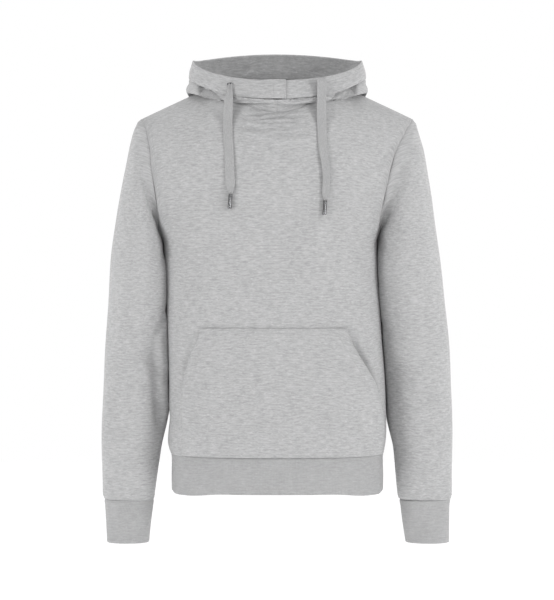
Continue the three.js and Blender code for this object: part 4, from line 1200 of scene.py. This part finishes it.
def casing():
    count = round((CASING_LIFT_START - CASING_START) / CASING_COLUMN_STEP)
    degrees = np.concatenate([np.linspace(CASING_START, CASING_LIFT_START, count)[:-1],
                              np.linspace(CASING_LIFT_START, CASING_END, CASING_LAP_COLUMNS)])
    angles = np.radians(degrees)
    place = np.linspace(CASING_ROW, HOOD.size - 1, CASING_ROWS - len(CASING_EDGE_ROWS))
    place = np.sort(np.append(place, [CASING_ROW + share for share in CASING_EDGE_ROWS]))
    grid = np.array([hood_point(at, angles) for at in place])
    normal, up = casing_seam_directions(angles)
    grid[0] += up * SEAM
    lift = LAP_LIFT * smooth((degrees - CASING_LIFT_START) / (CASING_FULL_LIFT - CASING_LIFT_START))
    along = ((place - CASING_ROW) / (HOOD.size - 1 - CASING_ROW))[:, None]
    puff = CASING_PUFF * np.clip(np.sin(math.pi * along), 0, 1) ** 0.7
    gathers = np.sin(degrees / 1.9 + np.sin(degrees / 7)) * np.exp(-((along - 0.08) / 0.12) ** 2)
    shaped = pushed_out(grid, lift + puff + CASING_PUCKER * gathers)
    fade = edge_fade(shaped.shape, rows=(2, 0))
    shaped = creased(shaped, np.meshgrid(degrees, place), CASING_CREASES, scale=HOOD_SCALE, seams=fade)
    shaped = pushed_out(shaped, undulation(grid, 0.35, 7.3) * fade)
    shaped = blunted(edge_rolled(shaped, ("bottom",)), degrees)
    shaped = edge_rolled(shaped, ("right",), depth=0.7, width=3)

    def meet(normals):
        normals[0] = normal

    return shaped, inner_grid(shaped, CASING_WALL, level=meet)


# Pocket

POCKET_BOTTOM, POCKET_TOP = -609.5, -397
POCKET_COLUMNS = 78
POCKET_ROWS = 62
POCKET_BUNCHING = 1.25
POCKET_BELLY = 1.6
POCKET_CREASES = [
    Crease([(-157, -500), (-140, -512), (-118, -512)], 8, -1.5, 0.4, ends=(0.5, 0)),
    Crease([(166, -528), (140, -540), (100, -544)], 10, -2.0, 0.45, ends=(0.6, 0)),
    Crease([(150, -484), (122, -500), (80, -508)], 12, -1.8, 0.45, ends=(0.5, 0)),
    Crease([(172, -556), (158, -580), (152, -604)], 8, -1.6, 0.45, ends=(0.3, 0.6)),
    Crease([(-154, -548), (-146, -574), (-144, -600)], 8, -1.5, 0.45, ends=(0.3, 0.6)),
    Crease([(-100, -424), (-60, -436), (-10, -434)], 15, -1.0, 0.3),
    Crease([(-70, -584), (-64, -596), (-62, -609)], 7, -1.1, 0.4, ends=(0, 0.7)),
    Crease([(40, -586), (46, -598), (46, -609)], 7, -1.1, 0.4, ends=(0, 0.7)),
]


def body_normal(x, z):
    across = body_at("front", x + 1, z) - body_at("front", x - 1, z)
    up = body_at("front", x, z + 1) - body_at("front", x, z - 1)
    return unit(np.cross(across, up))


def pocket():
    z = np.linspace(POCKET_BOTTOM, POCKET_TOP, POCKET_ROWS)[:, None]
    u = np.linspace(-1, 1, POCKET_COLUMNS)[None, :]
    t = (1 + np.sin(POCKET_BUNCHING * u) / math.sin(POCKET_BUNCHING)) / 2
    row = {name: POCKET.column("z", z, name) for name in POCKET.values}
    x = mix(-row["left"], row["right"], t)
    z = z + 0 * t
    stand = POCKET_LIFT + row["gape_left"] * (1 - smooth(t / GAPE_LEFT)) \
        + row["gape_right"] * (1 - smooth((1 - t) / GAPE_RIGHT))
    base = body_at("front", x, z)
    rows_in = np.sin(math.pi * np.linspace(0, 1, POCKET_ROWS))[:, None]
    belly = POCKET_BELLY * rows_in * np.sin(math.pi * t)
    waves = undulation(base, 0.7, 1.3) + undulation(base, 0.5, 8.8) * rows_in
    grid = base + body_normal(x, z) * (stand + belly + waves + JERSEY_WALL)[..., None]
    fade = edge_fade(grid.shape, rows=(3, 4), columns=(2, 2))
    shaped = creased(grid, (x, z), POCKET_CREASES, seams=fade)
    return shaped, inner_grid(shaped, JERSEY_WALL)


# Drawcords: the route of each one's middle and the yaw of its flat side, from the eyelet down

CORD_WIDTH, CORD_THICK = 16, 2.6
CORDS = {
    "left": Table("x y z yaw", [
        (-78.2, -84.2, 13, -13),
        (-78.6, -88.4, 8, -13),
        (-79.5, -91, -2, -13),
        (-80.6, -94.8, -13, -12),
        (-81.8, -96, -28, -11),
        (-82.3, -97.2, -46, -10),
        (-82.1, -102.6, -63, -10),
        (-81.4, -107.9, -81, -10),
        (-80.2, -111.8, -100, -10),
        (-79.2, -113.5, -122, -10),
        (-78.3, -113.6, -148, -8),
        (-77.4, -113.9, -173.5, -8),
    ]),
    "right": Table("x y z yaw", [
        (73.9, -83.9, 14, 13),
        (74, -87, 18.6, 13),
        (74, -91.4, 21, 13),
        (74, -94.6, 16, 13),
        (74, -95.2, 4, 12),
        (73.9, -96.2, -12, 10),
        (73.8, -97.6, -30, 8),
        (73.9, -99.4, -48, 8),
        (74.3, -103.6, -64, 8),
        (75, -108.4, -82, 8),
        (76.6, -112, -101, 10),
        (79.2, -113.4, -121, 12),
        (81.2, -113.2, -145, 10),
        (80.6, -112.6, -166, 8),
        (79.6, -112.5, -183.5, 8),
    ]),
}
# Half widths and the depth of the fold down the middle, by the share of the length
CORD_SHAPES = {
    "left": Table("s half fold", [
        (0, 3.4, 2.6), (0.06, 4.2, 2.4), (0.13, 6.6, 1.8), (0.24, 7.9, 1.0), (0.45, 8, 0.25),
        (0.8, 8, 0.1), (0.93, 7.8, 0.2), (0.965, 5.6, 0.9), (1, 2.7, 0.9),
    ]),
    "right": Table("s half fold", [
        (0, 5.2, 1.2), (0.06, 7.4, 0.3), (0.12, 8, 0.1), (0.4, 8, 0.1), (0.58, 7.9, 0.3),
        (0.68, 7.2, 1.1), (0.8, 6.4, 1.3), (0.95, 6.2, 0.9), (0.975, 4.8, 0.9), (1, 2.7, 0.9),
    ]),
}
CORD_SAMPLES = 1200
CORD_RINGS = 110
CORD_SIDES = 28


def cord_route(side):
    """Points at equal distances along the cord's middle, and its yaw there."""
    table = CORDS[side]
    fine = np.linspace(0, table.size - 1, CORD_SAMPLES)
    run = line_lengths(points(*(table.at(n, fine) for n in "xyz")))
    place = np.interp(np.linspace(0, run[-1], CORD_RINGS), run, fine)
    return points(*(table.at(n, place) for n in "xyz")), np.radians(table.at("yaw", place))


def cord_mesh(name, side):
    line, yaw = cord_route(side)
    run = line_lengths(line)
    shape = CORD_SHAPES[side]
    tangent = unit(np.gradient(line, axis=0))
    across = points(np.cos(yaw), np.sin(yaw), 0)
    across = unit(across - tangent * (across * tangent).sum(axis=1, keepdims=True))
    out = np.cross(tangent, across)
    out *= np.where(out[:, 1:2] > 0, -1, 1)
    turn = turns(CORD_SIDES)
    flat = np.sign(np.cos(turn)) * np.abs(np.cos(turn)) ** 0.75
    thick = np.sign(np.sin(turn)) * np.abs(np.sin(turn)) ** 0.6
    vertices = []
    for k in range(CORD_RINGS):
        half, fold = (shape.column("s", run[k] / run[-1], name) for name in ("half", "fold"))
        depth = CORD_THICK / 2 * mix(1.0, 1.25, smooth((8 - half) / 5))
        groove = -fold * (1 - np.abs(flat)) ** 1.3
        ring = line[k] + np.outer(flat * half, across[k]) + np.outer(thick * depth + groove, out[k])
        vertices.extend(ring)
    faces, corners = [], []
    width = CORD_WIDTH * flat / 2 * MM
    for k in range(CORD_RINGS - 1):
        for i in range(CORD_SIDES):
            j = (i + 1) % CORD_SIDES
            faces.append((k * CORD_SIDES + i, (k + 1) * CORD_SIDES + i,
                          (k + 1) * CORD_SIDES + j, k * CORD_SIDES + j))
            corners += [(width[i], run[k] * MM), (width[i], run[k + 1] * MM),
                        (width[j], run[k + 1] * MM), (width[j], run[k] * MM)]
    last = (CORD_RINGS - 1) * CORD_SIDES
    for ring in (list(range(CORD_SIDES)), list(range(last, last + CORD_SIDES))[::-1]):
        faces.append(tuple(ring))
        corners += [(0.0, 0.0)] * CORD_SIDES
    mesh = mesh_of(name, vertices, faces, corners)
    bm = bmesh.new()
    bm.from_mesh(mesh)
    bmesh.ops.recalc_face_normals(bm, faces=bm.faces)
    bm.to_mesh(mesh)
    bm.free()
    return mesh, [tuple(p * MM) for p in line]


# Stitching

STITCH_LENGTH, STITCH_PITCH = 2.5, 3.3
STITCH_HALF_WIDTH, STITCH_HALF_HEIGHT = 0.42, 0.3
STITCH_SINK = 0.08
STITCH_SIDES, STITCH_BELLY = 5, 0.28


def line_in_from(grid, edge, distance, start=0, end=1, closed=False):
    """A line on the cloth beside one of its edges, at a distance, with its normals."""
    normals = normals_of(grid, closed)
    if edge in ("left", "right"):
        grid, normals = grid.transpose(1, 0, 2), normals.transpose(1, 0, 2)
    if edge in ("top", "right"):
        grid, normals = grid[::-1], normals[::-1]
    run = run_lengths(grid, 0)
    pairs = []
    for i in range(grid.shape[1]):
        k = min(max(int(np.searchsorted(run[:, i], distance)), 1), len(grid) - 1)
        t = (distance - run[k - 1, i]) / max(run[k, i] - run[k - 1, i], 1e-9)
        pairs.append([mix(g[k - 1, i], g[k, i], t) for g in (grid, normals)])
    first, last = (round(share * (len(pairs) - 1)) for share in (start, end))
    pairs = pairs[first:last + 1] + (pairs[:1] if closed else [])
    return np.array(pairs).transpose(1, 0, 2)


def stitches(name, slot, lines, pitch=STITCH_PITCH, length=STITCH_LENGTH, wide=STITCH_HALF_WIDTH):
    """Rows of small raised stitches along lines on the cloth, as one piece."""
    sides = STITCH_SIDES
    vertices, faces = [], []
    for line, out in lines:
        run = line_lengths(line)
        count = int(run[-1] // pitch)
        for n in range(count):
            at = (n + 0.5) * run[-1] / count
            a, b = (np.array([np.interp(at + d, run, line[:, i]) for i in range(3)])
                    for d in (-length / 2, length / 2))
            up = unit(np.array([np.interp(at, run, out[:, i]) for i in range(3)]))
            along = unit(b - a)
            side = np.cross(up, along)
            first = len(vertices)
            centre = (a + b) / 2 + up * STITCH_SINK
            vertices.append(centre - along * length / 2)
            for reach in (-STITCH_BELLY, STITCH_BELLY):
                for angle in turns(sides):
                    vertices.append(centre + along * reach * length + side * wide * math.cos(angle)
                                    + up * STITCH_HALF_HEIGHT * math.sin(angle))
            vertices.append(centre + along * length / 2)
            last = len(vertices) - 1
            for i in range(sides):
                j = (i + 1) % sides
                near, far = first + 1, first + 1 + sides
                faces += [(first, near + i, near + j), (near + i, far + i, far + j, near + j),
                          (last, far + j, far + i)]
    new_piece(name, mesh_of(name, vertices, faces), THREAD, slot)


def stitched(name, *rows, slot="jersey"):
    """Stitches beside a seam. A row has the cloth, its edge, the distances, and where they run."""
    stitches(f"{name}_stitches", slot, [line_in_from(grid, edge, distance, *span)
                                        for grid, edge, distances, *span in rows
                                        for distance in distances])


# Small round pieces, made with the modelling tools

def active():
    return bpy.context.active_object


def settled(piece, name, material, slot, *nodes):
    """Names a modelled piece and leaves it unturned at the origin."""
    bpy.ops.object.transform_apply(location=True, rotation=True, scale=True)
    piece.name = name
    bpy.ops.object.shade_smooth()
    bpy.ops.object.select_all(action="DESELECT")
    return assigned(piece, material, nodes)


AGLET_LENGTH, AGLET_RADIUS, AGLET_CHAMFER, AGLET_LEAN = 24, 3, 0.7, 0.07
EYELET_HALF_WIDTH, EYELET_HALF_HEIGHT, EYELET_DEPTH, EYELET_SINK = 5.2, 2.6, 0.7, 0.2
RIM_PATH, RIM_HALF_WIDTH, RIM_STITCHES = 0.9, 1.1, 30
RIM_STITCH = {"pitch": 2.1, "length": 2.2, "wide": 0.55}


def aglet(side):
    """A metal tip: a round bar with its edges rounded over, leaning with the cord's end."""
    end = CORDS[side].values
    top = Vector((end["x"][-1], end["y"][-1], end["z"][-1] - SEAM)) * MM
    bpy.ops.mesh.primitive_cylinder_add(vertices=40, radius=AGLET_RADIUS * MM, depth=AGLET_LENGTH * MM)
    tip = active()
    bpy.ops.object.mode_set(mode="EDIT")
    bpy.ops.mesh.select_all(action="SELECT")
    bpy.ops.mesh.bevel(offset=AGLET_CHAMFER * MM, segments=4, affect="EDGES")
    bpy.ops.object.mode_set(mode="OBJECT")
    tip.location = top + Matrix.Rotation(AGLET_LEAN, 3, "Y") @ Vector((0, 0, -AGLET_LENGTH / 2 * MM))
    tip.rotation_euler = (0, AGLET_LEAN, 0)
    return settled(tip, f"aglet_{side}_metal", GUNMETAL, "metal", f"aglet_{side}")


def eyelet(side, grid):
    """A sewn eyelet in the casing where a cord comes out: a near-black oval of painted shade where its
    opening is, inside bound stitches.
    """
    table = CORDS[side]
    start = np.array([table.values[n][0] for n in "xyz"], float)
    away = np.linalg.norm(grid - start, axis=2)
    place = np.unravel_index(np.argmin(away), away.shape)
    normal = Vector(normals_of(grid)[place])
    turn = normal.to_track_quat("Z", "Y").to_euler()
    centre = Vector(grid[place])
    # A small dark oval of painted shade, set where the shadow inside the opening falls
    bpy.ops.mesh.primitive_uv_sphere_add(segments=28, ring_count=12, radius=1)
    hole_shade = active()
    hole_shade.scale = Vector((EYELET_HALF_WIDTH, EYELET_HALF_HEIGHT, EYELET_DEPTH)) * MM
    hole_shade.location = (centre - normal * EYELET_SINK) * MM
    hole_shade.rotation_euler = turn
    settled(hole_shade, f"eyelet_{side}_slit_shade", HOLE_SHADE, "jersey")
    right, up = (np.array(turn.to_matrix().col[i]) for i in range(2))
    spokes = []
    for t in turns(RIM_STITCHES):
        place = np.array(centre) + right * (EYELET_HALF_WIDTH + RIM_PATH) * math.cos(t) \
            + up * (EYELET_HALF_HEIGHT + RIM_PATH) * math.sin(t)
        reach = (right * math.cos(t) + up * math.sin(t)) * RIM_HALF_WIDTH
        spokes.append((np.array([place - reach, place + reach]), np.array([normal] * 2)))
    stitches(f"eyelet_{side}_stitches", "jersey", spokes, **RIM_STITCH)


# The garment

# Each sheet's slot, flat width and length, flat area, how it is held, and its place in the knit
SHEETS = {
    "front": ("jersey", 0.52, 0.66, 0.30, "hung", 0),
    "back": ("jersey", 0.50, 0.67, 0.30, "hung", 1.7),
    "sleeve_left": ("jersey", 0.50, 0.66, 0.205, "hung", 3.1),
    "sleeve_right": ("jersey", 0.50, 0.66, 0.21, "hung", 4.4),
    "cuff_left": ("rib", 0.185, 0.072, 0.0133, "stretched", 5.3),
    "cuff_right": ("rib", 0.185, 0.072, 0.0133, "stretched", 6.6),
    "waistband": ("rib", 0.84, 0.06, 0.0504, "stretched", 8.2),
    "hood_left": ("jersey", 0.46, 0.31, 0.079, "draped", 9.4),
    "hood_right": ("jersey", 0.46, 0.31, 0.078, "draped", 10.4),
    "hood_band": ("jersey", 0.88, 0.037, 0.0325, "draped", 11.6),
    "pocket": ("jersey", 0.35, 0.222, 0.072, "hung", 13.3),
}
CLOTHS = {"jersey": JERSEY, "rib": RIB}
TUBES = ("sleeve", "cuff", "waistband")


def sewn(node, wall):
    """Makes a cloth piece from its wall's two grids, and gives back the outer one."""
    name = f"{node}_cloth"
    slot, width, length, area, held, offset = SHEETS[node]
    mesh = wall_mesh(name, *wall, node.startswith(TUBES), offset)
    piece = new_piece(name, mesh, CLOTHS[slot], slot, node)
    return wall[0]


front, back = (sewn(face, body_panel(face)) for face in ("front", "back"))
sewn("waistband", waistband(front[0], back[0]))
sleeves = {side: sewn(f"sleeve_{side}", sleeve(side)) for side in SIDES}
cuffs = {side: sewn(f"cuff_{side}", cuff(side)) for side in SIDES}
halves = {side: sewn(f"hood_{side}", hood_half(side)) for side in SIDES}
hood_edge = sewn("hood_band", casing())
pouch = sewn("pocket", pocket())

for side in SIDES:
    mesh, path = cord_mesh(f"drawcord_{side}_tape", side)
    tip = aglet(side)
    piece = new_piece(f"drawcord_{side}_tape", mesh, TAPE, "cord", f"drawcord_{side}")
    eyelet(side, hood_edge)

# Stitches beside the seams, by their distances from the edge
TWIN = (3.2, 8.2)
NECK_EDGE, CASING_SEAM, POCKET_EDGE = (2.4,), (2.6,), (2.6,)
CUFF_FOLD, CASING_END_ROWS, POCKET_FACING = (5.5,), (3, 20), (17,)
underarm = 1 - (ARMHOLE_ROWS + 1) / len(front)
shoulder = (PANEL_SIDE_COLUMNS - 1) / (front.shape[1] - 1)

stitched("hem_seam", (front, "bottom", TWIN), (back, "bottom", TWIN))
for side in SIDES:
    stitched(f"cuff_{side}_seam", (sleeves[side], "bottom", TWIN, 0, 1, True))
    stitched(f"cuff_{side}_edge", (cuffs[side], "bottom", CUFF_FOLD, 0, 1, True), slot="rib")
stitched("armhole", *((g, edge, TWIN, underarm, 0.985) for g in (front, back) for edge in SIDES))
stitched("shoulder", (back, "top", TWIN, 0.06, shoulder), (back, "top", TWIN, 1 - shoulder, 0.94))
stitched("neck", *((g, "top", NECK_EDGE, shoulder, 1 - shoulder) for g in (front, back)))
stitched("hood_centre", (halves["right"], "right", TWIN[:1], 0.02, 0.985),
         (halves["left"], "left", TWIN[:1], 0.02, 0.985))
stitched("casing_seam", *((halves[side], "top", CASING_SEAM, 0.01, 0.99) for side in SIDES))
stitched("casing_end", (hood_edge, "right", CASING_END_ROWS, 0.08, 0.94))
stitched("pocket", (pouch, "top", TWIN, 0.02, 0.98),
         *((pouch, edge, POCKET_EDGE, 0.01, 0.98) for edge in SIDES),
         *((pouch, edge, POCKET_FACING, 0.42, 0.95) for edge in SIDES))

# Floor, light and finish

WHITE = (1, 1, 1, 1)
PALE = (0.93, 0.93, 0.93, 1)
FLOOR_SIZE, FLOOR_PLACE = 14, (0, 1.5, -1.42)

ground = Paint("floor", Base_Color=PALE, Roughness=0.9, Emission_Color=WHITE, Emission_Strength=0.22)
bpy.ops.mesh.primitive_plane_add(size=FLOOR_SIZE, location=FLOOR_PLACE)
floor = active()
floor.name = "floor"
floor.data.materials.append(ground.material)
bpy.ops.object.select_all(action="DESELECT")

# White all round, and half as bright in front of the garment
world = bpy.data.worlds.new("studio")
world.use_nodes = True
sky = world.node_tree
background = sky.nodes["Background"].inputs
facing = sky.nodes.new("ShaderNodeTexCoord")
split = sky.nodes.new("ShaderNodeSeparateXYZ")
ramp = sky.nodes.new("ShaderNodeMapRange")
ramp.interpolation_type = "SMOOTHSTEP"
for socket, value in (("From Min", -0.85), ("From Max", -0.1), ("To Min", 0.5), ("To Max", 1.0)):
    ramp.inputs[socket].default_value = value
sky.links.new(facing.outputs["Generated"], split.inputs[0])
sky.links.new(split.outputs[1], ramp.inputs["Value"])
sky.links.new(ramp.outputs[0], background["Strength"])
background["Color"].default_value = WHITE
bpy.context.scene.world = world

# Two soft lamps in front, one to each side, and one behind: place, height aimed at, size, power
LAMPS = {
    "key": ((2.5, -1.75, 0.45), -0.35, 0.9, 37),
    "fill": ((-2.5, -1.75, 0.45), -0.35, 0.9, 31),
    "back": ((0.8, 2.6, 1.0), -0.3, 1.6, 10),
}
for name, (location, height, size, power) in LAMPS.items():
    data = bpy.data.lights.new(name, "AREA")
    data.shape = "DISK"
    data.size = size
    data.energy = power
    lamp = bpy.data.objects.new(name, data)
    bpy.context.scene.collection.objects.link(lamp)
    lamp.location = location
    lamp.rotation_euler = (Vector((0, 0, height)) - Vector(location)).to_track_quat("-Z", "Y").to_euler()
bpy.context.scene.view_settings.view_transform = "Standard"
